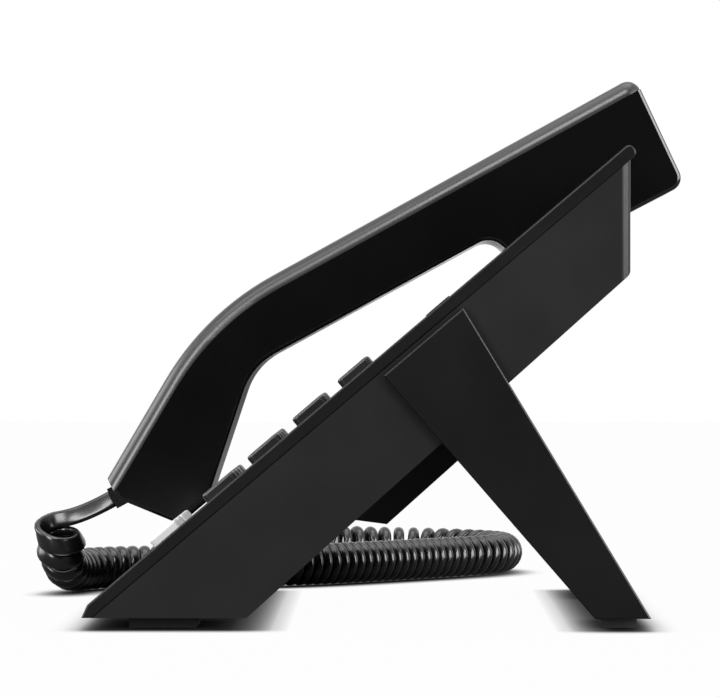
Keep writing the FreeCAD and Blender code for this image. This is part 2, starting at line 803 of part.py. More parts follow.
def make_back_blank():
    """The upper part of the handset with the broad rounding of its back's sides, down past the parting line."""
    depth = S.band_depth * 2
    end_lean = (S.head_u - S.head_end_u) / (S.head_v + S.head_end_v)
    tail_lean = (S.tail_u - S.chin_u) / (S.tail_v - S.chin_v)
    low_line = [
        (S.head_u - end_lean * depth, S.head_v - depth),
        lowered(OUTER_LINE[1], depth),
        (S.tail_u - tail_lean * S.band_depth, S.tail_v - S.band_depth),
    ]
    blank = prism("handset_back_blank", OUTER_LINE + low_line, handset_low_x, S.handset_width)
    round_edges(blank, "back_knee", S.knee_round, across_at(OUTER_LINE[1]))
    round_edges(blank, "back_head", S.head_round, across_at(OUTER_LINE[2]))
    sides = rim_at("x", handset_low_x, handset_low_x + S.handset_width)

    def back_side(edge):
        """A side edge that runs from the tail up the back."""
        heights = sorted(vertex.Point.z for vertex in edge.Vertexes)
        return sides(edge) and abs(heights[0] - S.tail_v.number) < 0.01

    return round_edges(blank, "back_sides", S.back_edge, back_side)


def make_handset():
    """Two shells that meet along a line under the handset's back."""
    under_line = [
        (S.head_end_u, -S.head_end_v),
        (S.head_front_u, -S.head_front_v),
        (S.window_u, S.window_v),
        (S.arch_u, S.arch_v),
        (S.mouth_inner_u, mouth_v),
        (S.mouth_outer_u, mouth_v),
        (S.chin_u, S.chin_v),
    ]
    blank = prism("handset_blank", OUTER_LINE + under_line, handset_low_x, S.handset_width)
    round_edges(blank, "handset_knee", S.knee_round, across_at(OUTER_LINE[1]))
    round_edges(blank, "handset_head", S.head_round, across_at(OUTER_LINE[2], under_line[0], under_line[1]))
    round_edges(blank, "handset_window", S.window_round, across_at(under_line[2]))
    round_edges(blank, "handset_arch", S.arch_round, across_at(under_line[3]))
    round_edges(blank, "handset_mouth", S.mouth_round, across_at(under_line[4], under_line[5]))
    sides = rim_at("x", handset_low_x, handset_low_x + S.handset_width)
    round_edges(blank, "handset_sides", S.handset_edge, sides)
    back_blank = make_back_blank()
    wall = S.handset_wall
    # The cavity's corners stand in from the outside by the wall, and by more where two slopes meet.
    inner_line = [
        (S.tail_u + wall * 2, S.tail_v - wall),
        (S.knee_u, S.knee_v - wall * 1.7),
        (S.head_u - wall * 2, S.head_v - wall),
        (S.head_end_u - wall * 1.5, -S.head_end_v + wall * 1.4),
        (S.head_front_u + wall, -S.head_front_v + wall),
        (S.window_u + wall, S.window_v + wall),
        (S.arch_u, S.arch_v + wall * 1.2),
        (S.mouth_inner_u - wall * 0.6, mouth_v + wall),
        (S.mouth_outer_u + wall * 0.6, mouth_v + wall),
        (S.chin_u + wall * 1.2, S.chin_v),
    ]
    cavity = prism("handset_cavity", inner_line, handset_low_x + wall, S.handset_width - wall * 2)
    round_edges(cavity, "cavity_knee", S.knee_round, across_at(inner_line[1]))
    round_edges(cavity, "cavity_arch", S.arch_round, across_at(inner_line[6]))
    margin = S.handset_width
    parting = [lowered(corner, S.band_depth) for corner in OUTER_LINE]
    above = [(S.tail_u - margin, parting[0][1])] + parting + [
        (S.head_u + margin, parting[-1][1] + S.wall),
        (S.head_u + margin, S.knee_v + margin),
        (S.tail_u - margin, S.knee_v + margin),
    ]
    upper = prism("handset_upper", above, handset_low_x - margin, S.handset_width + margin * 2)
    round_edges(upper, "parting_knee", S.knee_round, across_at(parting[1]))
    plug_way = plug_solid("handset_plug_way", S.plug_gap, S.plug_inset)
    back = common("back_solid", back_blank, upper)
    keep("handset_back_cover", cut("handset_back_cover", back, [cavity, plug_way]))
    lower = cut("handset_lower", blank, [upper, cavity])
    holes = []
    for index in range(6):
        angle = math.radians(60 * index)
        x = S.handset_x.number + S.ear_hole_ring.number * math.cos(angle)
        u = S.ear_u.number + S.ear_hole_ring.number * math.sin(angle)
        holes.append(rod(f"ear_hole_{index}", (x, u, -S.body_width / 2), S.ear_hole, S.body_width / 2))
    ear_foot = (S.handset_x, S.ear_u, -half_width)
    holes.append(rod("ear_hole_middle", ear_foot, S.ear_hole, half_width))
    voice_foot = (S.handset_x, S.mouth_outer_u + S.voice_radius * 2, -half_width)
    holes.append(rod("voice_slot", voice_foot, S.ear_hole, half_width + S.wall * 2))
    keep("handset_inner_shell", cut("handset_inner_shell", lower, holes + [plug_way]))


# The handset's lead leaves its lower end square to the small end facet.
tail_fall = math.degrees(math.atan2((S.tail_v - S.chin_v).number, (S.tail_u - S.chin_u).number))
EXIT_DIRECTION = FreeCAD.Rotation(Vector(1, 0, 0), tail_fall).multVec(Vector(0, 0, 1))
exit_u = S.chin_u + (S.tail_u - S.chin_u) * 0.12
exit_v = S.chin_v + (S.tail_v - S.chin_v) * 0.12


def plug_solid(name, grow, inset):
    """Plug body on the exit axis, from inside the lower end to just outside it."""
    wide = S.jack_mouth_u - S.plug_gap * 2 + as_size(grow) * 2
    deep = S.jack_mouth_v - S.plug_gap * 2 + as_size(grow) * 2
    box = block(name, (0.0, 0.0, 0.0), (wide, deep, inset + S.boot_out))
    turn = FreeCAD.Rotation(Vector(0, 0, 1), EXIT_DIRECTION)
    middle = Vector(S.handset_x.number, exit_u.number, exit_v.number)
    start = middle - EXIT_DIRECTION * inset.number
    box.Placement = FreeCAD.Placement(start, turn).multiply(
        FreeCAD.Placement(Vector(-wide.number / 2, -deep.number / 2, 0), FreeCAD.Rotation())
    )
    return box


def make_handset_inside():
    head_top = head_under(S.ear_u) + S.handset_wall * 1.4
    keep("earpiece_receiver", rod("earpiece_receiver", (S.handset_x, S.ear_u, head_top + S.ear_depth * 0.5),
                                  S.ear_radius, S.ear_depth))
    voice_foot = (S.handset_x, S.mouth_outer_u + S.voice_radius * 2, mouth_v + S.handset_wall)
    keep("handset_microphone", rod("handset_microphone", voice_foot, S.voice_radius, S.mic_depth))
    handle_middle = (S.window_u + S.arch_u) / 2
    handle_floor = (S.window_v + S.arch_v) / 2
    weight = block("handset_weight", (S.handset_x - S.ear_radius, handle_middle - S.weight_length / 2, 0.0),
                   (S.ear_radius * 2, S.weight_length, S.weight_thick))
    lean = math.degrees(math.atan2((S.window_v - S.arch_v).number, (S.window_u - S.arch_u).number))
    turn = FreeCAD.Rotation(Vector(1, 0, 0), lean)
    weight_v = handle_floor + S.handset_wall * 1.3
    middle = Vector(S.handset_x.number, handle_middle.number, weight_v.number)
    shift = Vector(-S.ear_radius.number, -S.weight_length.number / 2, 0)
    placed = FreeCAD.Placement(middle, turn)
    weight.Placement = placed.multiply(FreeCAD.Placement(shift, FreeCAD.Rotation()))
    keep("handset_weight", weight)


def make_stand():
    """One moulding: cheeks outside the base, a hollow leg to the desk and a shoe under the belly."""
    tilt_cos = S.tilt.cos()
    tilt_sin = S.tilt.sin()

    def level(u, v):
        """Slope-frame point as a level point measured from the front line."""
        u = as_size(u)
        v = as_size(v)
        return (u * tilt_cos - v * tilt_sin, u * tilt_sin + v * tilt_cos + S.foot_proud)

    foot_front = (S.stand_front_y + S.front_line, S.foot_proud)
    foot_back = (S.stand_back_y + S.front_line, S.foot_proud)
    top_front = level(S.cheek_front_u, -S.cheek_drop)
    top_back = level(S.cheek_back_u, -S.cheek_drop)
    leg = [top_front, top_back, foot_back, foot_front]
    outer_half = half_width + S.cheek_gap + S.cheek_thick
    inner_half = half_width + S.cheek_gap
    blank = prism("stand_blank", leg, -outer_half, outer_half * 2)
    round_edges(blank, "stand_sides", S.edge_round, rim_at("x", outer_half, -outer_half))
    # Room for the base between the cheeks
    low_u = S.shoe_low - S.body_width
    high_u = S.face_length + S.body_width
    room = [
        level(low_u, belly(low_u, S.cheek_gap)),
        level(high_u, belly(high_u, S.cheek_gap)),
        level(high_u, S.body_width),
        level(low_u, S.body_width),
    ]
    base_room = prism("stand_base_room", room, -inner_half, inner_half * 2)
    # The leg is hollow between its front and back walls, which lean, so that they take more of a level line.
    wall = S.cheek_thick
    lean_front = wall * 1.35
    lean_back = wall * 1.2
    toe_back = wall * 1.8
    toe_front = wall * 0.45
    hollow_outline = [
        (top_front[0] + lean_front, top_front[1]),
        (top_back[0] - lean_back, top_back[1]),
        (foot_back[0] - toe_back, foot_back[1] + wall),
        (foot_front[0] + toe_front, foot_front[1] + wall),
    ]
    hollow = prism("stand_hollow", hollow_outline, -inner_half, inner_half * 2)
    legs = cut("stand_legs", blank, [base_room, hollow])
    shoe_end = S.shoe_thick * rise
    shoe = [
        level(S.shoe_low, belly(S.shoe_low, S.cheek_gap)),
        level(S.shoe_high, belly(S.shoe_high, S.cheek_gap)),
        level(S.shoe_high, belly(S.shoe_high, S.shoe_thick)),
        level(S.shoe_low + shoe_end, belly(S.shoe_low + shoe_end, S.shoe_thick)),
    ]
    sole = prism("stand_shoe", shoe, -S.shoe_half, S.shoe_half * 2)
    tabs = []
    for index, (x, u) in enumerate(tab_places()):
        low = (x - S.tab_width / 2, u - S.tab_thick / 2, belly(u) - S.shoe_thick / 2)
        tab = block(f"stand_tab_{index}", low, (S.tab_width, S.tab_thick, S.shoe_thick / 2 + S.tab_reach))
        tab.Placement = LEVEL.inverse().multiply(SLOPE).multiply(tab.Placement)
        tabs.append(tab)
    pad_seats = []
    for index, x in enumerate(pad_sides()):
        low = (x - S.pad_width / 2, stand_pad_y(), S.foot_proud - S.pad_sunk)
        pad_seats.append(block(f"stand_pad_seat_{index}", low, (S.pad_width, S.pad_length, S.pad_sunk * 2)))
    keep("rear_stand", cut("rear_stand", fused("stand_solid", [legs, sole] + tabs), pad_seats), LEVEL)


def stand_pad_y():
    return S.front_line + (S.stand_front_y + S.stand_back_y) / 2 - S.pad_length / 2


def make_pads():
    """Rubber pads let into the base's foot and the stand's foot."""
    for name, low_y, length in (("front_pads", S.nose_top + S.pad_length, S.pad_length * 2),
                                ("stand_pads", stand_pad_y(), S.pad_length)):
        pads = [
            block(f"{name}_{index}", (x - S.pad_width / 2, low_y, 0.0),
                  (S.pad_width, length, S.foot_proud + S.pad_sunk))
            for index, x in enumerate(pad_sides())
        ]
        group = doc.addObject("Part::Compound", name)
        group.Links = pads
        keep(name, group, LEVEL)


def make_plugs():
    """Plugs of the curly cord: one in the handset's lower end, one in the jack on the left wall."""
    keep("handset_plug", plug_solid("handset_plug", 0.0, S.plug_inset - S.plug_gap))
    wide = S.jack_mouth_u - S.plug_gap * 2
    deep = S.jack_mouth_v - S.plug_gap * 2
    low = (-half_width - S.plug_out, S.handset_jack_u - wide / 2, -S.jack_v - deep / 2)
    body = block("base_plug_body", low, (S.plug_out + S.plug_inset, wide, deep))
    keep("base_plug", body)


def rounded_route(points):
    """Points and tangents along straight runs joined by arcs as large as the runs allow."""
    corners = [Vector(*point) for point in points]
    share = 0.45
    pieces = []
    radii = []
    start = corners[0]
    for before, corner, after in zip(corners, corners[1:], corners[2:]):
        way_in = (corner - before).normalize()
        way_out = (after - corner).normalize()
        turn = way_in.getAngle(way_out)
        reach = share * min((corner - before).Length, (after - corner).Length)
        arc_start = corner - way_in * reach
        arc_end = corner + way_out * reach
        radii.append(reach / math.tan(turn / 2))
        pieces.append((start, arc_start, None))
        pieces.append((arc_start, arc_end, corner))
        start = arc_end
    pieces.append((start, corners[-1], None))
    return pieces, radii


def sampled(pieces, step):
    """Evenly close points along straight runs and arcs, with their distance along the route."""
    points = []
    for start, end, corner in pieces:
        length = (end - start).Length
        count = max(2, int(length / step))
        for index in range(count):
            share = index / count
            if corner is None:
                points.append(start + (end - start) * share)
                continue
            half_turn = (corner - start).getAngle(end - corner) / 2
            radius = (corner - start).Length / math.tan(half_turn)
            inward = ((start + end) * 0.5 - corner).normalize()
            centre = corner + inward * (radius / math.cos(half_turn))
            first = (start - centre).normalize()
            along = (corner - start).normalize()
            angle = 2 * half_turn * share
            points.append(centre + first * (radius * math.cos(angle)) + along * (radius * math.sin(angle)))
    points.append(pieces[-1][1])
    return points


def carried_frames(points):
    """Tangents, and a normal carried along the route without twist, at each point."""
    tangents = []
    for index in range(len(points)):
        before = points[max(0, index - 1)]
        after = points[min(len(points) - 1, index + 1)]
        tangents.append((after - before).normalize())
    normal = Vector(-1, 0, 0)
    normals = []
    for tangent in tangents:
        normal = (normal - tangent * normal.dot(tangent)).normalize()
        normals.append(normal)
    return tangents, normals


def pitch_at(share):
    for (low, low_pitch), (high, high_pitch) in zip(CURL_PITCH, CURL_PITCH[1:]):
        if share <= high:
            return low_pitch + (high_pitch - low_pitch) * (share - low) / (high - low)
    return CURL_PITCH[-1][1]


def curl_points():
    """Points of the strand's centre line, half a turn apart, with their tangents."""
    pieces, radii = rounded_route(CURL_AXIS)
    print("curl axis radii", [round(radius, 1) for radius in radii])
    points = sampled(pieces, 0.25)
    tangents, normals = carried_frames(points)
    distance = [0.0]
    for before, after in zip(points, points[1:]):
        distance.append(distance[-1] + (after - before).Length)
    phase = [0.0]
    for low, high in zip(distance, distance[1:]):
        middle = (low + high) / 2 / distance[-1]
        phase.append(phase[-1] + 2 * math.pi * (high - low) / pitch_at(middle))
    # The last curl ends under the coil, where the lead to the base starts.
    end_normal = normals[-1]
    end_side = end_normal.cross(tangents[-1])
    down = Vector(0, 0, -1)
    wanted = math.atan2(down.dot(end_side), down.dot(end_normal))
    turns = round((phase[-1] - wanted) / (2 * math.pi))
    scale = (wanted + 2 * math.pi * turns) / phase[-1]
    phase = [angle * scale for angle in phase]
    halves = round(phase[-1] / math.pi)
    stations = [phase[-1] * index / halves for index in range(halves + 1)]
    radius = S.curl_radius.number
    strand = []
    index = 0
    for angle in stations:
        while index < len(phase) - 2 and phase[index + 1] < angle:
            index += 1
        share = (angle - phase[index]) / (phase[index + 1] - phase[index])
        share = min(1.0, share)
        centre = points[index] + (points[index + 1] - points[index]) * share
        tangent = (tangents[index] + (tangents[index + 1] - tangents[index]) * share).normalize()
        normal = (normals[index] + (normals[index + 1] - normals[index]) * share).normalize()
        side = normal.cross(tangent)
        rate = (phase[index + 1] - phase[index]) / (distance[index + 1] - distance[index])
        outward = normal * math.cos(angle) + side * math.sin(angle)
        around = side * math.cos(angle) - normal * math.sin(angle)
        strand.append((centre + outward * radius, (tangent + around * (radius * rate)).normalize()))
    print("curls", round(phase[-1] / (2 * math.pi), 2), "axis", round(distance[-1], 1))
    return strand


def biarc(start, start_way, end, end_way):
    """Two arcs that leave start and reach end along the given directions."""
    gap = end - start
    ways = start_way + end_way
    a = 2 * (1 - start_way.dot(end_way))
    b = 2 * gap.dot(ways)
    c = -gap.dot(gap)
    reach = -c / b if abs(a) < 1e-9 else (-b + math.sqrt(b * b - 4 * a * c)) / (2 * a)
    first = start + start_way * reach
    second = end - end_way * reach
    joint = (first + second) * 0.5
    return [(start, first, joint), (joint, second, end)]


def arc_edge(start, corner, end):
    """Arc tangent to start-corner and corner-end, or a straight edge where they are in line."""
    middle = (start + end) * 0.5
    height = (corner - middle).Length
    half = (end - start).Length / 2
    if height < 1e-4:
        return Part.LineSegment(start, end).toShape(), math.inf
    angle = math.atan2(height, half)
    top = middle + (corner - middle) * (half * math.tan(angle / 2) / height)
    return Part.Arc(start, top, end).toShape(), half / math.sin(angle)


def least_self_gap(edges, strand):
    """Least clear gap between stretches of the tube that are over a half turn apart along it."""
    points = []
    reached = []
    length = 0.0
    for edge in edges:
        some = edge.discretize(Number=9)[:-1]
        points += some
        reached += [length + edge.Length * index / len(some) for index in range(len(some))]
        length += edge.Length
    half_turn = math.pi * S.curl_radius.number
    cell = strand * 2
    cells = {}
    for index, point in enumerate(points):
        key = (int(point.x // cell), int(point.y // cell), int(point.z // cell))
        cells.setdefault(key, []).append(index)
    least = math.inf
    around = [(i, j, k) for i in (-1, 0, 1) for j in (-1, 0, 1) for k in (-1, 0, 1)]
    for index, point in enumerate(points):
        key = (int(point.x // cell), int(point.y // cell), int(point.z // cell))
        for i, j, k in around:
            for other in cells.get((key[0] + i, key[1] + j, key[2] + k), ()):
                if reached[other] - reached[index] > half_turn:
                    least = min(least, (points[other] - point).Length)
    return least - strand


def make_cord():
    """One unbroken strand: lead from the handset, curls along their axis, lead to the base."""
    strand = S.strand.number
    exit_way = SLOPE.Rotation.multVec(EXIT_DIRECTION)
    exit_point = Vector(S.handset_x.number, exit_u.number, exit_v.number)
    exit_point = SLOPE.multVec(exit_point) + exit_way * (S.boot_out.number + S.rest_gap.number)
    curls = [(LEVEL.multVec(point), way) for point, way in curl_points()]
    plug_way = Vector(1, 0, 0)
    plug_x = (-half_width - S.plug_out).number
    plug_face = SLOPE.multVec(Vector(plug_x, S.handset_jack_u.number, -S.jack_v.number))
    first = (exit_point + exit_way * strand, exit_way)
    last = (plug_face - plug_way * strand, plug_way)
    stations = [first] + curls + [last]
    edges = [Part.LineSegment(exit_point, stations[0][0]).toShape()]
    radii = []
    for (start, start_way), (end, end_way) in zip(stations, stations[1:]):
        for piece in biarc(start, start_way, end, end_way):
            edge, radius = arc_edge(*piece)
            edges.append(edge)
            radii.append(radius)
    edges.append(Part.LineSegment(stations[-1][0], plug_face).toShape())
    print("lead radii", [round(radius, 1) for radius in radii[:2] + radii[-2:]])
    print("tightest curl", round(min(radii), 2))
    spine = Part.Wire(edges)
    print("cord length", round(spine.Length, 1), "gap", round(least_self_gap(edges, strand), 2))
    ring = Part.Wire(Part.Circle(exit_point, exit_way, strand / 2).toShape())
    tube = spine.makePipeShell([ring], True, False)
    section = math.pi * strand * strand / 4
    print("cord volume over section times length", round(tube.Volume / (section * spine.Length), 4))
    cord = doc.addObject("Part::Feature", "curly_cord")
    cord.Shape = tube
    keep("curly_cord", cord, FreeCAD.Placement())


make_front_cover()
make_housing()
make_screws()
make_keys()
make_rocker()
make_display_and_boards()
make_sound()
make_cradle()
make_hook()
make_sockets()
make_handset()
make_handset_inside()
make_stand()
make_pads()
make_plugs()
make_cord()
doc.recompute()

for thing in doc.Objects:
    if "Invalid" in thing.State or "Error" in thing.State:
        raise RuntimeError(f"{thing.Name} failed: {thing.State}")
for name, piece in parts.items():
    if piece.Shape.isNull() or not piece.Shape.isValid() or not piece.Shape.Solids:
        raise RuntimeError(f"{name} has no valid solid")
os.makedirs("parts", exist_ok=True)
for name, piece in parts.items():
    piece.Shape.exportStep(f"parts/{name}.step")
whole = FreeCAD.BoundBox()
for name, piece in parts.items():
    if name not in CORD_PARTS:
        whole.add(piece.Shape.BoundBox)
print("box", whole, "middle y", round((whole.YMin + whole.YMax) / 2, 3), "parts", len(parts))
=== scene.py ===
"""Desk telephone: finishes, curly cord, key figures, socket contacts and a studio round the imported
model."""

import json

import bpy
import numpy as np
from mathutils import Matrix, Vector


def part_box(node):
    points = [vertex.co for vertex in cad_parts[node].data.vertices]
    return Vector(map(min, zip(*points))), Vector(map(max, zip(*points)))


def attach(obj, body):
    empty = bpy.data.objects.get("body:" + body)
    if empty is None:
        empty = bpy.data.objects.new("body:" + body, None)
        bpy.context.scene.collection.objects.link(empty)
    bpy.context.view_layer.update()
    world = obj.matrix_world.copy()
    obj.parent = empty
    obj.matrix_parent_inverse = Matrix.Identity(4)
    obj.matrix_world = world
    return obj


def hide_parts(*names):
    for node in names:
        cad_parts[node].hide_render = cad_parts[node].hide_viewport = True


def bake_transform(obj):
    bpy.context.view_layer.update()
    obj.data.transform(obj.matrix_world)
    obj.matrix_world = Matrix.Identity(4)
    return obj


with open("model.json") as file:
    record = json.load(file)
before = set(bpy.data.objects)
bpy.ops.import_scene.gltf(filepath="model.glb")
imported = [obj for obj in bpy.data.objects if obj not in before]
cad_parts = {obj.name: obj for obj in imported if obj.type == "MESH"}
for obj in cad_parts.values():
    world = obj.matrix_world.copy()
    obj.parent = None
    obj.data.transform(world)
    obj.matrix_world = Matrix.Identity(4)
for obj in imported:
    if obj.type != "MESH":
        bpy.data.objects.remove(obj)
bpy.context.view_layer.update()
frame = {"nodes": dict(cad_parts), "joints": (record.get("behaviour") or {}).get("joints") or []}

bl_info = {
    "name": "Desk telephone",
    "version": (1, 0, 0),
    "blender": (4, 5, 0),
    "location": "3D View > Sidebar > Telephone",
    "description": "Finishes, curly cord, key figures and studio for a desk telephone",
    "category": "Object",
}

MM = 0.001
TURN = 2 * np.pi

# The face's own directions: out of it, as the handset lifts, across it, and up it.
OUT = np.array(next(joint["axis"] for joint in frame["joints"] if joint["name"] == "handset_lift"), float)
OUT /= np.linalg.norm(OUT)
ACROSS = np.array((1.0, 0.0, 0.0))
UPWARD = np.cross(OUT, ACROSS)

# Axis of the cord's curls, from the handset's end to the base's end, in millimetres: x, y from the base's
# front line, and z. They are the CAD route's points.
CURL_AXIS = np.array([
    (-57.5, -15.2, 20.5),
    (-60.4, -15.2, 14.1),
    (-66.0, -14.6, 9.0),
    (-75.0, -13.0, 6.8),
    (-89.5, -9.6, 6.8),
    (-101.0, 3.6, 6.8),
    (-102.0, 24.0, 6.8),
    (-104.0, 44.0, 6.8),
    (-114.5, 61.5, 6.8),
    (-131.0, 78.0, 6.8),
    (-153.0, 99.0, 6.8),
    (-178.0, 121.0, 6.8),
    (-205.0, 122.0, 6.8),
    (-222.0, 101.0, 7.0),
    (-217.0, 76.0, 7.6),
    (-203.0, 57.0, 9.0),
])
FRONT_LINE = 84.99
# The ways in which the cord leaves its two plugs.
HANDSET_WAY = np.array((0.0, -0.878, -0.4787))
BASE_WAY = np.array((-1.0, 0.0, 0.0))
# Spacing of the curls, in millimetres, at shares of the axis.
CURL_SHARE = (0.0, 0.05, 0.1, 0.15, 0.22, 0.28, 0.56, 0.66, 1.0)
CURL_PITCH = (5.2, 5.0, 4.6, 4.2, 3.6, 3.3, 3.4, 4.6, 5.4)
# Turns at which the flat strand starts to grow round, over which the flat loops come upright, and over
# which their twist fades, and the shares of the axis over which the strand narrows to its far width.
ROUND_FROM = 0.3
LOOPS_UPRIGHT = (0.05, 0.5)
TWIST_FADE = (1.5, 2.5)
FAR_HALF = (0.2, 0.45)
# Power of the flat lead's section in the superellipse formula; the round strand's is 1.
RIBBON_POWER = 0.5
# Points along the axis, in each curl, on the lead from the handset and on the lead to the base, and
# round the strand.
ROUTE_STEPS = 1600
CURL_STEPS = 24
LEAD_STEPS = 24
TAIL_STEPS = 120
STRAND_SIDES = 20

# Contacts of a network socket: wires at the standard spacing, and their bends as depths into the socket
# and heights over its middle, in millimetres.
WIRE_COUNT = 8
WIRE_SPACING = 1.02
WIRE_RADIUS = 0.2
WIRE_SIDES = 8
WIRE_BENDS = ((2.0, 3.6), (5.0, 2.2), (9.0, 1.2))

# Softboxes round the telephone: where each hangs and what it faces, its width and its height, in
# metres, and its watts.
LAMPS = {
    "Overhead softbox": ((-0.1, 0.0, 1.5), (0.0, 0.0, 0.0), 1.2, 1.2, 12.0),
    "Back softbox": ((0.3, 1.1, 0.45), (0.0, 0.0, 0.08), 0.6, 0.7, 16.0),
    "Front softbox": ((-0.2, -1.2, 0.35), (0.0, 0.0, 0.08), 0.9, 0.8, 12.0),
    "Front strip": ((1.0, -0.75, 0.4), (0.0, -0.05, 0.08), 0.3, 0.8, 13.0),
    "High softbox": ((0.3, -0.8, 1.1), (0.0, 0.0, 0.08), 0.5, 0.5, 3.0),
    "Back strip": ((0.95, 0.85, 0.35), (0.0, 0.06, 0.1), 0.4, 0.7, 14.0),
    "Side softbox": ((0.85, -0.2, 0.85), (-0.05, -0.05, 0.02), 0.4, 0.4, 7.0),
}
# The floor's edge towards the camera, and a card behind the camera: its distance, half its width, its
# bottom and its top, in metres.
FLOOR_EDGE = 0.6
CARD_PLACE = 1.6
CARD_HALF = 1.6
CARD_LOW = -0.9
CARD_HIGH = 1.8
# Powers of the floor's sharp and soft shadows, and the light of the white surroundings on the surfaces.
CONTACT_POWER = 1.5
SHADOW_POWER = 1.0
FILL = 0.45
# The camera, on the telephone's right: its place and what it faces, in metres, and its sensor, in
# millimetres.
CAMERA_PLACE = Vector((1.150, -0.00139, 0.07405))
CAMERA_TARGET = Vector((0.090, -0.00902, 0.0744))
SENSOR_WIDTH = 36.0

# Figures and letters on the dial keys. A figure over letters stands above the key's middle, in
# millimetres, and the letters' height and their drop below the figure are shares of its height.
FIGURE_RISE = 1.2
LETTER_HEIGHT = 0.42
LETTER_DROP = 0.62
FIGURES = {
    "key_1": ("1", ""),
    "key_2": ("2", "ABC"),
    "key_3": ("3", "DEF"),
    "key_4": ("4", "GHI"),
    "key_5": ("5", "JKL"),
    "key_6": ("6", "MNO"),
    "key_7": ("7", "PQRS"),
    "key_8": ("8", "TUV"),
    "key_9": ("9", "WXYZ"),
    "key_star": ("*", ""),
    "key_0": ("0", ""),
    "key_hash": ("#", ""),
}


SOFT_KEYS = [f"soft_key_{number}" for number in range(1, 5)]


def ring_points(radius, start, end, count=25):
    """Points of an arc about the origin: radius times (cos, sin) of angles from start to end, in
    degrees."""
    angle = np.radians(np.linspace(start, end, count))
    return np.stack([radius * np.cos(angle), radius * np.sin(angle)], axis=1)


# Signs on the other keys, as strokes in millimetres about the key's middle.
SIGNS = {
    "key_redial": [ring_points(1.9, 60, 360), [(1.1, 0.7), (1.9, -0.3), (2.7, 0.7)]],
    "key_hold": [[(-0.9, -1.8), (-0.9, 1.8)], [(0.9, -1.8), (0.9, 1.8)]],
    "key_conference": [
        ring_points(0.7, 0, 360) + shift for shift in ((-1.9, -0.9), (1.9, -0.9), (0.0, 1.3))],
    "key_transfer": [[(-2.6, 0.8), (2.6, 0.8), (1.6, 1.8)], [(2.6, -0.8), (-2.6, -0.8), (-1.6, -1.8)]],
    "key_mute": [
        ring_points(0.8, 0, 180) + (0.0, 1.0),
        [(-0.8, 1.0), (-0.8, 0.0)],
        [(0.8, 1.0), (0.8, 0.0)],
        ring_points(1.5, 180, 360),
        [(0.0, -1.5), (0.0, -2.3)],
        [(-2.2, -2.0), (2.2, 2.4)],
    ],
    "key_speaker": [
        [(-2.2, -0.7), (-1.2, -0.7), (0.0, -1.8), (0.0, 1.8), (-1.2, 0.7), (-2.2, 0.7), (-2.2, -0.7)],
        ring_points(1.1, -50, 50) + (0.3, 0.0),
        ring_points(2.1, -50, 50) + (0.3, 0.0),
    ],
    "volume_rocker": [
        [(-12.6, 0.0), (-9.8, 0.0)],
        [(9.8, 0.0), (12.6, 0.0)],
        [(11.2, -1.4), (11.2, 1.4)],
    ],
    **{key: [[(-1.6, 0.0), (1.6, 0.0)]] for key in SOFT_KEYS},
}

# Which finish each node of the CAD model takes.
FINISHES = {
    "housing": ["base_housing", "hook_switch"],
    "face": ["front_cover", "handset_cradle"],
    "stand": ["rear_stand"],
    "handset_shell": ["handset_inner_shell"],
    "handset_back": ["handset_back_cover"],
    "black_key": [
        "hook_plunger", *FIGURES, "key_redial", "key_hold", "key_conference", "key_transfer", *SOFT_KEYS],
    "grey_key": ["key_mute", "key_speaker", "volume_rocker"],
    "lens": ["display_lens"],
    "screen": ["lcd_panel"],
    "lamp": ["message_lamp"],
    "board": ["main_board"],
    "silicone": ["keypad_mat"],
    "socket": ["handset_jack", "headset_jack", "lan_port", "pc_port", "power_jack"],
    "rubber": ["front_pads", "stand_pads"],
    "speaker": ["earpiece_receiver", "loudspeaker"],
    "steel": ["hands_free_microphone", "handset_microphone", "housing_screws"],
    "weight": ["handset_weight"],
    "plug": ["base_plug", "handset_plug"],
}


def linear(code):
    """Linear colour of an sRGB hex code. A channel c becomes c / 12.92 up to 0.04045, and
    ((c + 0.055) / 1.055)^2.4 above that."""
    channels = np.array([int(code[index:index + 2], 16) for index in (1, 3, 5)]) / 255
    low = channels / 12.92
    high = ((channels + 0.055) / 1.055) ** 2.4
    return (*np.where(channels <= 0.04045, low, high).tolist(), 1.0)


def add_node(tree, kind, inputs=(), **settings):
    """Adds a node. settings are its properties; inputs pair a socket with a value or an output to link."""
    made = tree.nodes.new(kind)
    for name, value in settings.items():
        setattr(made, name, value)
    for socket, value in inputs:
        if isinstance(value, bpy.types.NodeSocket):
            tree.links.new(value, made.inputs[socket])
        else:
            made.inputs[socket].default_value = value
    return made


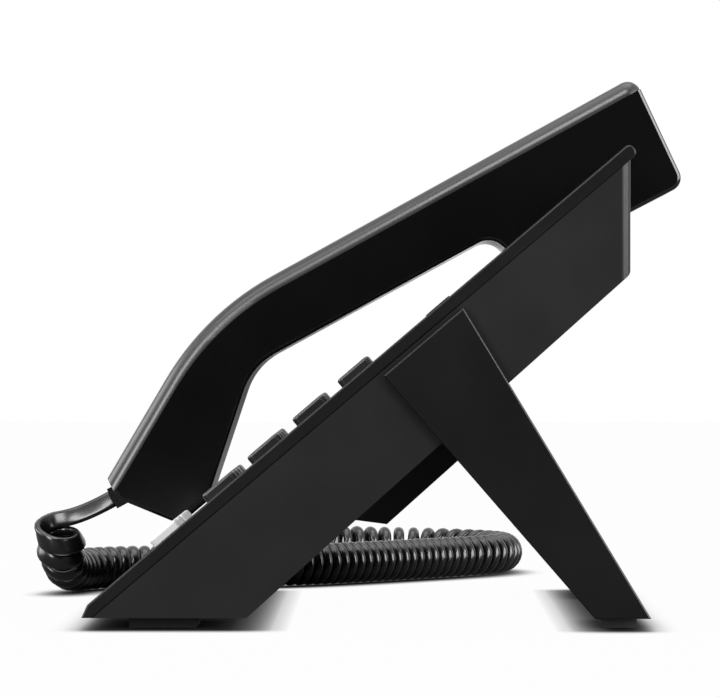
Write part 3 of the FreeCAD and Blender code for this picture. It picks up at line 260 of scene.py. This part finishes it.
def new_finish(name, colour, roughness, grain=0.0, depth=0.0, smudge=0.0, patch_width=25.0, **sockets):
    """A finish on a Principled shader, in a linear colour. grain is the texture's width and depth its
    height, in millimetres. smudge spreads the roughness over patches patch_width millimetres wide."""
    material = bpy.data.materials.new(name)
    material.use_nodes = True
    tree = material.node_tree
    tree.nodes.clear()
    shader = add_node(
        tree, "ShaderNodeBsdfPrincipled", [("Base Color", colour), ("Roughness", roughness)])
    for socket, value in sockets.items():
        shader.inputs[socket.replace("_", " ")].default_value = value
    place = add_node(tree, "ShaderNodeTexCoord")
    if smudge:
        patch = add_node(
            tree, "ShaderNodeTexNoise",
            [("Vector", place.outputs["Object"]), ("Scale", 1 / (patch_width * MM)), ("Detail", 3.0)],
        )
        spread = add_node(
            tree, "ShaderNodeMapRange",
            [("Value", patch.outputs["Fac"]), ("From Min", 0.3), ("From Max", 0.7),
             ("To Min", roughness - smudge), ("To Max", roughness + smudge)],
        )
        tree.links.new(spread.outputs["Result"], shader.inputs["Roughness"])
    if grain:
        speck = add_node(
            tree, "ShaderNodeTexNoise",
            [("Vector", place.outputs["Object"]), ("Scale", 1 / (grain * MM)), ("Detail", 2.0)],
        )
        bump = add_node(
            tree, "ShaderNodeBump",
            [("Height", speck.outputs["Fac"]), ("Distance", depth * MM), ("Strength", 1.0)],
        )
        tree.links.new(bump.outputs["Normal"], shader.inputs["Normal"])
    result = add_node(tree, "ShaderNodeOutputMaterial")
    tree.links.new(shader.outputs["BSDF"], result.inputs["Surface"])
    return material


def mesh_points(mesh):
    """All corners of a mesh as an array."""
    points = np.empty(len(mesh.vertices) * 3)
    mesh.vertices.foreach_get("co", points)
    return points.reshape(-1, 3)


def vertices_of(node):
    """All corners of a CAD node as an array, at rest."""
    return mesh_points(frame["nodes"][node].data)


def mesh_of(curve):
    """Points and faces of the mesh that Blender makes of a curve or a text, which is then removed."""
    holder = bpy.data.objects.new("outline", curve)
    mesh = bpy.data.meshes.new_from_object(holder)
    points = mesh_points(mesh)
    faces = [list(polygon.vertices) for polygon in mesh.polygons]
    bpy.data.objects.remove(holder)
    bpy.data.curves.remove(curve)
    bpy.data.meshes.remove(mesh)
    return points, faces


def plug_mouth(node, way, depth=0.2 * MM):
    """Where the cord leaves a plug: the middle of its end face, the corners within a depth of the
    furthest one along the way."""
    points = vertices_of(node)
    reach = points @ way
    face = points[reach > reach.max() - depth]
    return (face.min(axis=0) + face.max(axis=0)) / 2


def new_piece(name, points, faces, material, smooth=True):
    """A mesh object at the origin with its place in its vertices."""
    mesh = bpy.data.meshes.new(name)
    mesh.from_pydata(points.tolist(), [], faces)
    mesh.polygons.foreach_set("use_smooth", np.full(len(mesh.polygons), smooth))
    mesh.materials.append(material)
    mesh.update()
    piece = bpy.data.objects.new(name, mesh)
    bpy.context.scene.collection.objects.link(piece)
    return piece


def flat_stroke(line, width, sharpest=0.2):
    """A flat stroke along a line of 2-D points: each point is pushed half the width to both sides along
    the mean of the normals of the runs that meet there, or along the second one's where their sum is
    under sharpest. Returns its points and quads."""
    line = np.asarray(line, float)
    run = np.diff(line, axis=0)
    run /= np.linalg.norm(run, axis=1, keepdims=True)
    closed = np.allclose(line[0], line[-1])
    before = np.vstack([run[-1:] if closed else run[:1], run])
    after = np.vstack([run, run[:1] if closed else run[-1:]])
    normal = np.stack([-(before + after)[:, 1], (before + after)[:, 0]], axis=1)
    length = np.linalg.norm(normal, axis=1, keepdims=True)
    second = np.stack([-after[:, 1], after[:, 0]], axis=1)
    normal = np.divide(normal, length, out=second, where=length > sharpest)
    points = np.concatenate([line - normal * width / 2, line + normal * width / 2])
    count = len(line)
    low = np.arange(count - 1)
    faces = np.stack([low, low + 1, low + 1 + count, low + count], axis=1)
    return points, faces


def raised_print(points, middle, height):
    """Points in millimetres on the face, as a flat print lifted by height over a key's middle."""
    flat = points * MM
    return middle + flat[:, :1] * ACROSS + flat[:, 1:2] * UPWARD + OUT * height


def key_top(node):
    """Middle of a key's top: halfway across and up its span on the face, at its greatest reach out."""
    points = vertices_of(node)
    across, upward, out = points @ ACROSS, points @ UPWARD, points @ OUT
    middle = (across.min() + across.max()) / 2 * ACROSS + (upward.min() + upward.max()) / 2 * UPWARD
    return middle + out.max() * OUT


def letters(text, height, shift):
    """Outline of plain figures or letters as points in millimetres and faces, centred and then moved by
    shift."""
    outline = bpy.data.curves.new("figure", "FONT")
    outline.body = text
    outline.size = height
    outline.align_x = "CENTER"
    outline.align_y = "CENTER"
    outline.resolution_u = 4
    points, faces = mesh_of(outline)
    return points[:, :2] + shift, faces


def joined(shapes):
    """Several (points, faces) shapes as one, with the later faces' numbers moved on."""
    points, faces, start = [], [], 0
    for some, corners in shapes:
        points.append(some)
        faces += [[int(corner) + start for corner in face] for face in corners]
        start += len(some)
    return np.concatenate(points), faces


def route_points(control):
    """Points along a quadratic NURBS line that is drawn by the control points and starts and ends on
    them."""
    curve = bpy.data.curves.new("route", "CURVE")
    curve.dimensions = "3D"
    curve.resolution_u = 24
    spline = curve.splines.new("NURBS")
    spline.points.add(len(control) - 1)
    spline.points.foreach_set("co", np.column_stack([control, np.ones(len(control))]).ravel())
    spline.order_u = 3
    spline.use_endpoint_u = True
    return mesh_of(curve)[0]


def unit(vectors):
    """Vectors over their lengths."""
    return vectors / np.linalg.norm(vectors, axis=-1, keepdims=True)


def distance_along(points):
    """Distance from the first point to each, along the line."""
    steps = np.linalg.norm(np.diff(points, axis=0), axis=1)
    return np.concatenate([[0.0], np.cumsum(steps)])


def columns_at(where, known, table):
    """Each column of a table, read at new places between the known ones."""
    return np.stack([np.interp(where, known, column) for column in table.T], axis=1)


def lead(start, start_way, end, end_way, count):
    """A cubic from start to end that leaves and arrives along the given directions, without its two
    ends."""
    reach = np.linalg.norm(end - start)
    t = np.linspace(0, 1, count + 2)[1:-1, None]
    return (
        (2 * t**3 - 3 * t**2 + 1) * start
        + (t**3 - 2 * t**2 + t) * reach * start_way
        + (3 * t**2 - 2 * t**3) * end
        + (t**3 - t**2) * reach * end_way
    )


def mix(first, last, share):
    """first + (last - first) * share."""
    return first + (last - first) * share


def smooth_step(value, low, high):
    """0 below low, 1 above high, and 3s^2 - 2s^3 between, where s is the share of the way from low to
    high."""
    share = np.clip((value - low) / (high - low), 0, 1)
    return share * share * (3 - 2 * share)


def carried_normals(ways):
    """A direction square to a route at each of its points, carried along it without twist."""
    normals = np.empty_like(ways)
    normal = -ACROSS
    for index, way in enumerate(ways):
        normal = unit(normal - way * (normal @ way))
        normals[index] = normal
    return normals


def curl_phase(share, length, last_way, last_normal):
    """Angle of the curls at shares of the route: a full turn times its length over the curls' spacing,
    summed along it, and scaled a little so that the last curl ends under the coil, where the lead to
    the base starts."""
    rate = TURN * length / (np.interp(share, CURL_SHARE, CURL_PITCH) * MM)
    phase = np.concatenate([[0.0], np.cumsum((rate[1:] + rate[:-1]) / 2 * np.diff(share))])
    down = np.array((0.0, 0.0, -1.0))
    wanted = np.arctan2(down @ np.cross(last_normal, last_way), down @ last_normal)
    turns = round((phase[-1] - wanted) / TURN)
    return phase * ((wanted + TURN * turns) / phase[-1])


def with_leads(first, curled, last):
    """Values along the whole cord: first on the lead from the handset, the curls' own, and last on the
    lead to the base."""
    return np.concatenate([
        np.repeat([first], LEAD_STEPS + 1, axis=0), curled, np.repeat([last], TAIL_STEPS + 1, axis=0)])


def tube(line, wide_way, half_wide, half_thin, thin_way, power, sides):
    """Closed tube with a superellipse section carried along a line: each ring is the line's point plus
    half_wide times cos(a)^power along wide_way plus half_thin times sin(a)^power along thin_way, with
    the signs of cos and sin kept. A power of 1 is an oval, and a lower power a flat ribbon. Returns
    points and faces."""
    angle = np.arange(sides) / sides * TURN
    across, up = (
        np.sign(wave) * np.abs(wave) ** power[:, None] for wave in (np.cos(angle), np.sin(angle)))
    rings = (
        line[:, None]
        + wide_way[:, None] * (half_wide[:, None] * across)[..., None]
        + thin_way[:, None] * (half_thin[:, None] * up)[..., None]
    )
    count = len(line)
    index = np.arange(count * sides).reshape(count, sides)
    turned = np.roll(index, -1, axis=1)
    quads = np.stack([index[:-1], index[1:], turned[1:], turned[:-1]], axis=-1).reshape(-1, 4)
    caps = [index[0].tolist(), index[-1][::-1].tolist()]
    return rings.reshape(-1, 3), quads.tolist() + caps


class TelephoneLooks(bpy.types.PropertyGroup):
    """Sizes and colours that a user would change."""

    housing_colour: bpy.props.FloatVectorProperty(
        name="Housing colour", description="Colour of the base housing",
        default=linear("#0c0c0d"), size=4, subtype="COLOR")
    face_colour: bpy.props.FloatVectorProperty(
        name="Face colour", description="Colour of the front cover, the cradle and the stand",
        default=linear("#080809"), size=4, subtype="COLOR")
    handset_colour: bpy.props.FloatVectorProperty(
        name="Handset colour", description="Colour of the handset's polished shell",
        default=linear("#050505"), size=4, subtype="COLOR")
    handset_back_colour: bpy.props.FloatVectorProperty(
        name="Handset back colour", description="Colour of the handset's back cover",
        default=linear("#1c1c1d"), size=4, subtype="COLOR")
    black_key_colour: bpy.props.FloatVectorProperty(
        name="Black key colour", description="Colour of the dial, function and soft keys",
        default=linear("#131314"), size=4, subtype="COLOR")
    grey_key_colour: bpy.props.FloatVectorProperty(
        name="Grey key colour", description="Colour of the lowest row of keys",
        default=linear("#bfbfc0"), size=4, subtype="COLOR")
    cord_colour: bpy.props.FloatVectorProperty(
        name="Cord colour", description="Colour of the curly cord's jacket",
        default=linear("#0c0c0d"), size=4, subtype="COLOR")
    strand: bpy.props.FloatProperty(
        name="Strand", description="Thickness of the cord's strand in the curls",
        default=2.6 * MM, unit="LENGTH")
    strand_most: bpy.props.FloatProperty(
        name="Widest strand", description="Most width of the strand along the coil",
        default=4.4 * MM, unit="LENGTH")
    strand_far: bpy.props.FloatProperty(
        name="Far strand", description="Most width of the strand in the far half of the coil",
        default=3.2 * MM, unit="LENGTH")
    lead_twist: bpy.props.FloatProperty(
        name="Lead twist", description="How far the flat lead turns its face up",
        default=0.8, subtype="ANGLE")
    loop_twist: bpy.props.FloatProperty(
        name="Loop twist", description="How far the flat loops turn from the coil's own lean",
        default=-0.42, subtype="ANGLE")
    snugness: bpy.props.FloatProperty(
        name="Snugness", description="Share of the curls' spacing that the strand fills",
        default=0.95, subtype="FACTOR")
    curl_radius: bpy.props.FloatProperty(
        name="Curl radius", description="Radius of the curls at the strand's middle",
        default=5.2 * MM, unit="LENGTH")
    loop_radius: bpy.props.FloatProperty(
        name="Loop radius", description="Radius of the first loops under the handset",
        default=6.1 * MM, unit="LENGTH")
    ribbon_width: bpy.props.FloatProperty(
        name="Ribbon width", description="Width of the flat lead at the handset",
        default=5.2 * MM, unit="LENGTH")
    ribbon_thick: bpy.props.FloatProperty(
        name="Ribbon thickness", description="Thickness of the flat lead",
        default=2.1 * MM, unit="LENGTH")
    flat_turns: bpy.props.FloatProperty(
        name="Flat turns", description="Turns over which the lead goes from flat to round",
        default=2.6)
    figure_height: bpy.props.FloatProperty(
        name="Figure height", description="Height of the figures on the keys",
        default=5.2 * MM, unit="LENGTH")
    stroke: bpy.props.FloatProperty(
        name="Stroke", description="Width of the signs' strokes",
        default=0.45 * MM, unit="LENGTH")
    print_height: bpy.props.FloatProperty(
        name="Print height", description="Height of printed figures over a key",
        default=0.04 * MM, unit="LENGTH")
    contact_reach: bpy.props.FloatProperty(
        name="Contact reach", description="How close to the floor a thing darkens the floor sharply",
        default=7.0 * MM, unit="LENGTH")
    shadow_reach: bpy.props.FloatProperty(
        name="Shadow reach", description="How close to the floor a thing darkens the floor softly",
        default=10.0 * MM, unit="LENGTH")
    floor_white: bpy.props.FloatProperty(
        name="Floor white", description="Share of plain white in the floor seen by the camera",
        default=0.98, subtype="FACTOR")
    floor_size: bpy.props.FloatProperty(
        name="Floor", description="Width of the studio floor",
        default=6.0, unit="LENGTH")
    lens: bpy.props.FloatProperty(
        name="Lens", description="Focal length of the camera, in millimetres",
        default=201.4)


def looks():
    """The scene's own settings."""
    return bpy.context.scene.telephone_looks


def finish_of(name):
    """A finish made by the finishes operator."""
    return bpy.data.materials[name]


class TELEPHONE_OT_finishes(bpy.types.Operator):
    """Gives each node of the telephone the finish of its real material"""

    bl_idname = "telephone.finishes"
    bl_label = "Finishes"

    def execute(self, context):
        size = looks()
        made = {
            # Black ABS from a spark-eroded mould: soft wide highlights and a faint grain, which is
            # drawn coarser than the real one so that it shows.
            "housing": new_finish(
                "Textured black ABS", size.housing_colour, 0.4, grain=0.5, depth=0.008, smudge=0.03,
                Specular_IOR_Level=0.26),
            # The same plastic from smoother moulds: darker, with tighter highlights.
            "face": new_finish(
                "Satin black ABS", size.face_colour, 0.34, grain=0.6, depth=0.005, smudge=0.03,
                Specular_IOR_Level=0.22),
            "stand": new_finish(
                "Stand ABS", size.face_colour, 0.32, grain=0.6, depth=0.005, smudge=0.03,
                Specular_IOR_Level=0.22),
            # ABS from a polished mould: clear reflections over black.
            "handset_shell": new_finish("Polished black ABS", size.handset_colour, 0.13, smudge=0.03),
            # ABS from a half-polished mould: long soft highlights over dark grey.
            "handset_back": new_finish(
                "Semi-gloss grey-black ABS", size.handset_back_colour, 0.3, smudge=0.03),
            # Moulded key tops: a dull black with a soft sheen.
            "black_key": new_finish("Black key plastic", size.black_key_colour, 0.34, smudge=0.04),
            # Pigmented key plastic: a light matte grey with a soft sheen.
            "grey_key": new_finish("Light grey key plastic", size.grey_key_colour, 0.4, smudge=0.04),
            # Smoked acrylic: a hard clear reflection over a dark window.
            "lens": new_finish(
                "Smoked acrylic", linear("#5d6464"), 0.04, IOR=1.49, Transmission_Weight=1.0),
            # A display that is off: a flat grey-green.
            "screen": new_finish("Unlit display glass", linear("#8d978c"), 0.3),
            # Tinted acrylic with no light behind it: a deep glossy red.
            "lamp": new_finish("Red lamp acrylic", linear("#7d1a14"), 0.15, IOR=1.49),
            # Printed circuit board: an even green with a soft gloss.
            "board": new_finish("Solder mask green", linear("#1f5a34"), 0.35),
            # Pressed silicone: a dull mid grey.
            "silicone": new_finish("Grey silicone rubber", linear("#8a8a8d"), 0.6),
            # Glass-filled nylon: black with hardly any gloss.
            "socket": new_finish("Black socket nylon", linear("#17171a"), 0.5),
            # Moulded rubber: black and dull, with a grain that breaks up its highlights.
            "rubber": new_finish("Black rubber", linear("#101010"), 0.75, grain=0.8, depth=0.02),
            # Doped paper: dark and quite dull behind the slots.
            "speaker": new_finish("Black cone paper", linear("#161617"), 0.8),
            # Zinc-plated steel: bright grey metal, blurred by its plating.
            "steel": new_finish("Plated steel", linear("#b9babc"), 0.3, Metallic=1.0),
            # Cast iron as it comes from the mould: dull dark metal.
            "weight": new_finish("Plain iron", linear("#6d6b69"), 0.55, Metallic=1.0),
            # Polycarbonate plug: glossy black.
            "plug": new_finish("Black plug plastic", linear("#0d0d0e"), 0.2),
        }
        # Extruded vinyl: smooth black with narrow bright highlights.
        new_finish("Cord jacket", size.cord_colour, 0.22)
        # Pad-printed ink: flat and even, without gloss.
        new_finish("White key print", linear("#e4e4e4"), 0.5)
        new_finish("Dark key print", linear("#2a2a2c"), 0.5)
        # Thin gold over sprung wire: warm bright metal.
        new_finish("Gold-plated contact", linear("#d6a94a"), 0.25, Metallic=1.0)
        for finish, nodes in FINISHES.items():
            for node in nodes:
                mesh = frame["nodes"][node].data
                mesh.materials.clear()
                mesh.materials.append(made[finish])
        return {"FINISHED"}


class TELEPHONE_OT_cord(bpy.types.Operator):
    """Winds the curly cord along its route, from the handset's plug to the base's plug"""

    bl_idname = "telephone.cord"
    bl_label = "Curly cord"

    def execute(self, context):
        size = looks()
        axis = route_points((CURL_AXIS - (0.0, FRONT_LINE, 0.0)) * MM)
        reached = distance_along(axis)
        share = np.linspace(0, 1, ROUTE_STEPS)
        route = columns_at(share * reached[-1], reached, axis)
        ways = unit(np.gradient(route, axis=0))
        normals = carried_normals(ways)
        phase = curl_phase(share, reached[-1], ways[-1], normals[-1])
        # Curls: the route plus their radius times (cos, sin) of the phase, on the carried directions.
        angle = np.linspace(0, phase[-1], int(phase[-1] / TURN * CURL_STEPS))
        turn = angle / TURN
        first = unit(columns_at(angle, phase, normals))
        second = np.cross(first, unit(columns_at(angle, phase, ways)))
        outward = first * np.cos(angle)[:, None] + second * np.sin(angle)[:, None]
        rounded = smooth_step(turn, ROUND_FROM, size.flat_turns)
        radius = mix(size.loop_radius, size.curl_radius, rounded)
        curls = columns_at(angle, phase, route) + outward * radius[:, None]
        # Leads: from the handset's plug to the first curl, and from the last curl to the base's plug.
        curl_ways = unit(np.gradient(curls, axis=0))
        start = plug_mouth("handset_plug", HANDSET_WAY)
        end = plug_mouth("base_plug", BASE_WAY)
        lead_in = lead(start, HANDSET_WAY, curls[0], curl_ways[0], LEAD_STEPS)
        lead_out = lead(curls[-1], curl_ways[-1], end, -BASE_WAY, TAIL_STEPS)
        line = np.concatenate([start[None], lead_in, curls, lead_out, end[None]])
        along = unit(np.gradient(line, axis=0))
        thin = with_leads(outward[0], outward, outward[-1])
        thin = unit(thin - along * np.sum(thin * along, axis=1, keepdims=True))
        wide = np.cross(along, thin)
        # The flat lead leans its face up, and the flat loops stand upright on the side away from the
        # telephone.
        lean = mix(size.lead_twist, size.loop_twist, smooth_step(turn, *LOOPS_UPRIGHT))
        lean *= 1 - smooth_step(turn, *TWIST_FADE)
        twist = with_leads(size.lead_twist, lean, 0.0)[:, None]
        thin_way = thin * np.cos(twist) + wide * np.sin(twist)
        wide_way = wide * np.cos(twist) - thin * np.sin(twist)
        # The curls nearly touch, so the strand is as wide along the coil as its spacing lets it be.
        along_axis = np.interp(angle, phase, share)
        most = mix(size.strand_most, size.strand_far, smooth_step(along_axis, *FAR_HALF))
        spacing = np.interp(along_axis, CURL_SHARE, CURL_PITCH) * MM * size.snugness
        snug = with_leads(size.strand, np.clip(spacing, size.strand, most), size.strand)
        flat = with_leads(0.0, rounded, 1.0)
        half_wide = mix(size.ribbon_width, snug, flat) / 2
        half_thin = mix(size.ribbon_thick, size.strand, flat) / 2
        power = mix(RIBBON_POWER, 1.0, flat)
        corners, faces = tube(line, wide_way, half_wide, half_thin, thin_way, power, STRAND_SIDES)
        cord = new_piece("curly_cord_strand", corners, faces, finish_of("Cord jacket"))
        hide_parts("curly_cord")
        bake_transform(cord)
        return {"FINISHED"}


class TELEPHONE_OT_figures(bpy.types.Operator):
    """Prints figures, letters and plain signs on the keys"""

    bl_idname = "telephone.figures"
    bl_label = "Key figures"

    def execute(self, context):
        size = looks()
        height = size.figure_height / MM
        for key, (figure, below) in FIGURES.items():
            rise = FIGURE_RISE if below else 0.0
            shapes = [letters(figure, height, (0.0, rise))]
            if below:
                shapes.append(letters(below, height * LETTER_HEIGHT, (0.0, rise - height * LETTER_DROP)))
            self.print_on(key, *joined(shapes), finish_of("White key print"))
        for key, lines in SIGNS.items():
            print_finish = "Dark key print" if key in FINISHES["grey_key"] else "White key print"
            shapes = [flat_stroke(line, size.stroke / MM) for line in lines]
            self.print_on(key, *joined(shapes), finish_of(print_finish))
        return {"FINISHED"}

    def print_on(self, key, points, faces, finish):
        """Lays flat shapes on a key's top, riding on the key."""
        placed = raised_print(points, key_top(key), looks().print_height)
        piece = new_piece(f"{key}_print", placed, faces, finish, smooth=False)
        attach(piece, key)


class TELEPHONE_OT_contacts(bpy.types.Operator):
    """Puts the sprung gold contacts in the two network sockets"""

    bl_idname = "telephone.contacts"
    bl_label = "Socket contacts"

    def execute(self, context):
        for socket in ("lan_port", "pc_port"):
            low, high = (np.array(corner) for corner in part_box(socket))
            middle = (low + high) / 2
            # Round wires side by side, which slope down into the socket from its mouth.
            shapes = []
            for number in range(WIRE_COUNT):
                across = middle[0] + (number - (WIRE_COUNT - 1) / 2) * WIRE_SPACING * MM
                line = np.array([
                    (across, high[1] - depth * MM, middle[2] + height * MM)
                    for depth, height in WIRE_BENDS
                ])
                along = unit(np.gradient(line, axis=0))
                side = np.tile(ACROSS, (len(line), 1))
                half = np.full(len(line), WIRE_RADIUS * MM)
                power = np.ones(len(line))
                shapes.append(tube(line, np.cross(along, side), half, half, side, power, WIRE_SIDES))
            piece = new_piece(f"{socket}_contacts", *joined(shapes), finish_of("Gold-plated contact"))
            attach(piece, "base")
        return {"FINISHED"}


class TELEPHONE_OT_stage(bpy.types.Operator):
    """Sets up the floor, the soft lights, the surroundings and the camera"""

    bl_idname = "telephone.stage"
    bl_label = "Stage"

    def execute(self, context):
        size = looks()
        self.lay_floor(size)
        self.stand_card()
        for name, lamp in LAMPS.items():
            self.hang_lamp(name, *lamp)
        self.surround(context.scene)
        self.place_camera(context.scene, size.lens)
        context.scene.view_settings.view_transform = "Standard"
        return {"FINISHED"}

    def lay_floor(self, size):
        """A floor that ends between the telephone and the camera: white to the camera apart from the
        telephone's shadow, and grey to the light."""
        half = size.floor_size / 2
        corners = np.array([
            (-half, -half, 0.0), (FLOOR_EDGE, -half, 0.0), (FLOOR_EDGE, half, 0.0), (-half, half, 0.0)])
        material = bpy.data.materials.new("White studio floor")
        material.use_nodes = True
        tree = material.node_tree
        tree.nodes.clear()
        path = add_node(tree, "ShaderNodeLightPath")
        pale = add_node(tree, "ShaderNodeBsdfDiffuse", [("Color", linear("#6e6e6e"))])
        # What stands close to the floor darkens the white that the camera sees: sharply where it
        # touches, and in a wider soft shadow around it.
        shade = add_node(tree, "ShaderNodeMath", [
            (0, self.soft_shadow(tree, size.contact_reach, CONTACT_POWER)),
            (1, self.soft_shadow(tree, size.shadow_reach, SHADOW_POWER))], operation="MULTIPLY")
        white = add_node(tree, "ShaderNodeEmission", [
            ("Color", linear("#ffffff")), ("Strength", shade.outputs[0])])
        share = add_node(tree, "ShaderNodeMath", [
            (0, path.outputs["Is Camera Ray"]), (1, size.floor_white)], operation="MULTIPLY")
        mixed = add_node(tree, "ShaderNodeMixShader", [
            (0, share.outputs[0]), (1, pale.outputs[0]), (2, white.outputs[0])])
        add_node(tree, "ShaderNodeOutputMaterial", [("Surface", mixed.outputs[0])])
        floor = new_piece("studio_floor", corners, [(0, 1, 2, 3)], material, smooth=False)

    def soft_shadow(self, tree, reach, power):
        """How open the floor is within a reach, raised to a power: 1 in the open, near 0 in a corner."""
        near = add_node(tree, "ShaderNodeAmbientOcclusion", [("Distance", reach)], samples=16)
        shade = add_node(tree, "ShaderNodeMath", [(0, near.outputs["AO"]), (1, power)], operation="POWER")
        return shade.outputs[0]

    def stand_card(self):
        """A dark card behind the camera, out of its sight, that keeps the glossy side facing it black."""
        corners = np.array([
            (CARD_PLACE, -CARD_HALF, CARD_LOW), (CARD_PLACE, -CARD_HALF, CARD_HIGH),
            (CARD_PLACE, CARD_HALF, CARD_HIGH), (CARD_PLACE, CARD_HALF, CARD_LOW)])
        black = bpy.data.materials.new("Black card")
        black.use_nodes = True
        black.node_tree.nodes["Principled BSDF"].inputs["Base Color"].default_value = linear("#050505")
        card = new_piece("studio_card", corners, [(0, 1, 2, 3)], black, smooth=False)
        card.visible_camera = False

    def hang_lamp(self, name, place, target, width, height, power):
        """A rectangular softbox aimed at a target."""
        light = bpy.data.lights.new(name, "AREA")
        light.shape = "RECTANGLE"
        light.size = width
        light.size_y = height
        light.energy = power
        lamp = bpy.data.objects.new(name, light)
        lamp.location = place
        lamp.rotation_euler = (Vector(target) - Vector(place)).to_track_quat("-Z", "Y").to_euler()
        bpy.context.scene.collection.objects.link(lamp)

    def surround(self, scene):
        """Surroundings that are white to the camera, to reflections and through glass, and a dimmer
        fill on the surfaces."""
        world = bpy.data.worlds.new("Studio")
        scene.world = world
        world.use_nodes = True
        tree = world.node_tree
        tree.nodes.clear()
        path = add_node(tree, "ShaderNodeLightPath")
        seen = add_node(tree, "ShaderNodeMath", [
            (0, path.outputs["Is Camera Ray"]), (1, path.outputs["Is Glossy Ray"])], operation="MAXIMUM")
        bright = add_node(tree, "ShaderNodeMath", [
            (0, seen.outputs[0]), (1, path.outputs["Is Transmission Ray"])], operation="MAXIMUM")
        strength = add_node(tree, "ShaderNodeMapRange", [
            ("Value", bright.outputs[0]), ("To Min", FILL), ("To Max", 1.0)])
        white = add_node(tree, "ShaderNodeBackground", [
            ("Color", linear("#ffffff")), ("Strength", strength.outputs["Result"])])
        add_node(tree, "ShaderNodeOutputWorld", [("Surface", white.outputs[0])])

    def place_camera(self, scene, lens):
        """A camera on the telephone's right."""
        data = bpy.data.cameras.new("Camera")
        data.sensor_width = SENSOR_WIDTH
        data.lens = lens
        camera = bpy.data.objects.new("Camera", data)
        camera.location = CAMERA_PLACE
        camera.rotation_euler = (CAMERA_TARGET - CAMERA_PLACE).to_track_quat("-Z", "Y").to_euler()
        scene.collection.objects.link(camera)
        scene.camera = camera


STEPS = (
    TELEPHONE_OT_finishes,
    TELEPHONE_OT_cord,
    TELEPHONE_OT_figures,
    TELEPHONE_OT_contacts,
    TELEPHONE_OT_stage,
)


class TELEPHONE_PT_sidebar(bpy.types.Panel):
    """Lists the steps and the settings"""

    bl_idname = "TELEPHONE_PT_sidebar"
    bl_label = "Telephone"
    bl_space_type = "VIEW_3D"
    bl_region_type = "UI"
    bl_category = "Telephone"

    def draw(self, context):
        for step in STEPS:
            self.layout.operator(step.bl_idname)
        for name in TelephoneLooks.__annotations__:
            self.layout.prop(looks(), name)


CLASSES = (TelephoneLooks, *STEPS, TELEPHONE_PT_sidebar)


def register():
    for kind in CLASSES:
        bpy.utils.register_class(kind)
    bpy.types.Scene.telephone_looks = bpy.props.PointerProperty(type=TelephoneLooks)


def unregister():
    del bpy.types.Scene.telephone_looks
    for kind in reversed(CLASSES):
        bpy.utils.unregister_class(kind)


def main():
    register()
    bpy.ops.telephone.finishes()
    bpy.ops.telephone.cord()
    bpy.ops.telephone.figures()
    bpy.ops.telephone.contacts()
    bpy.ops.telephone.stage()


if __name__ == "__main__":
    main()
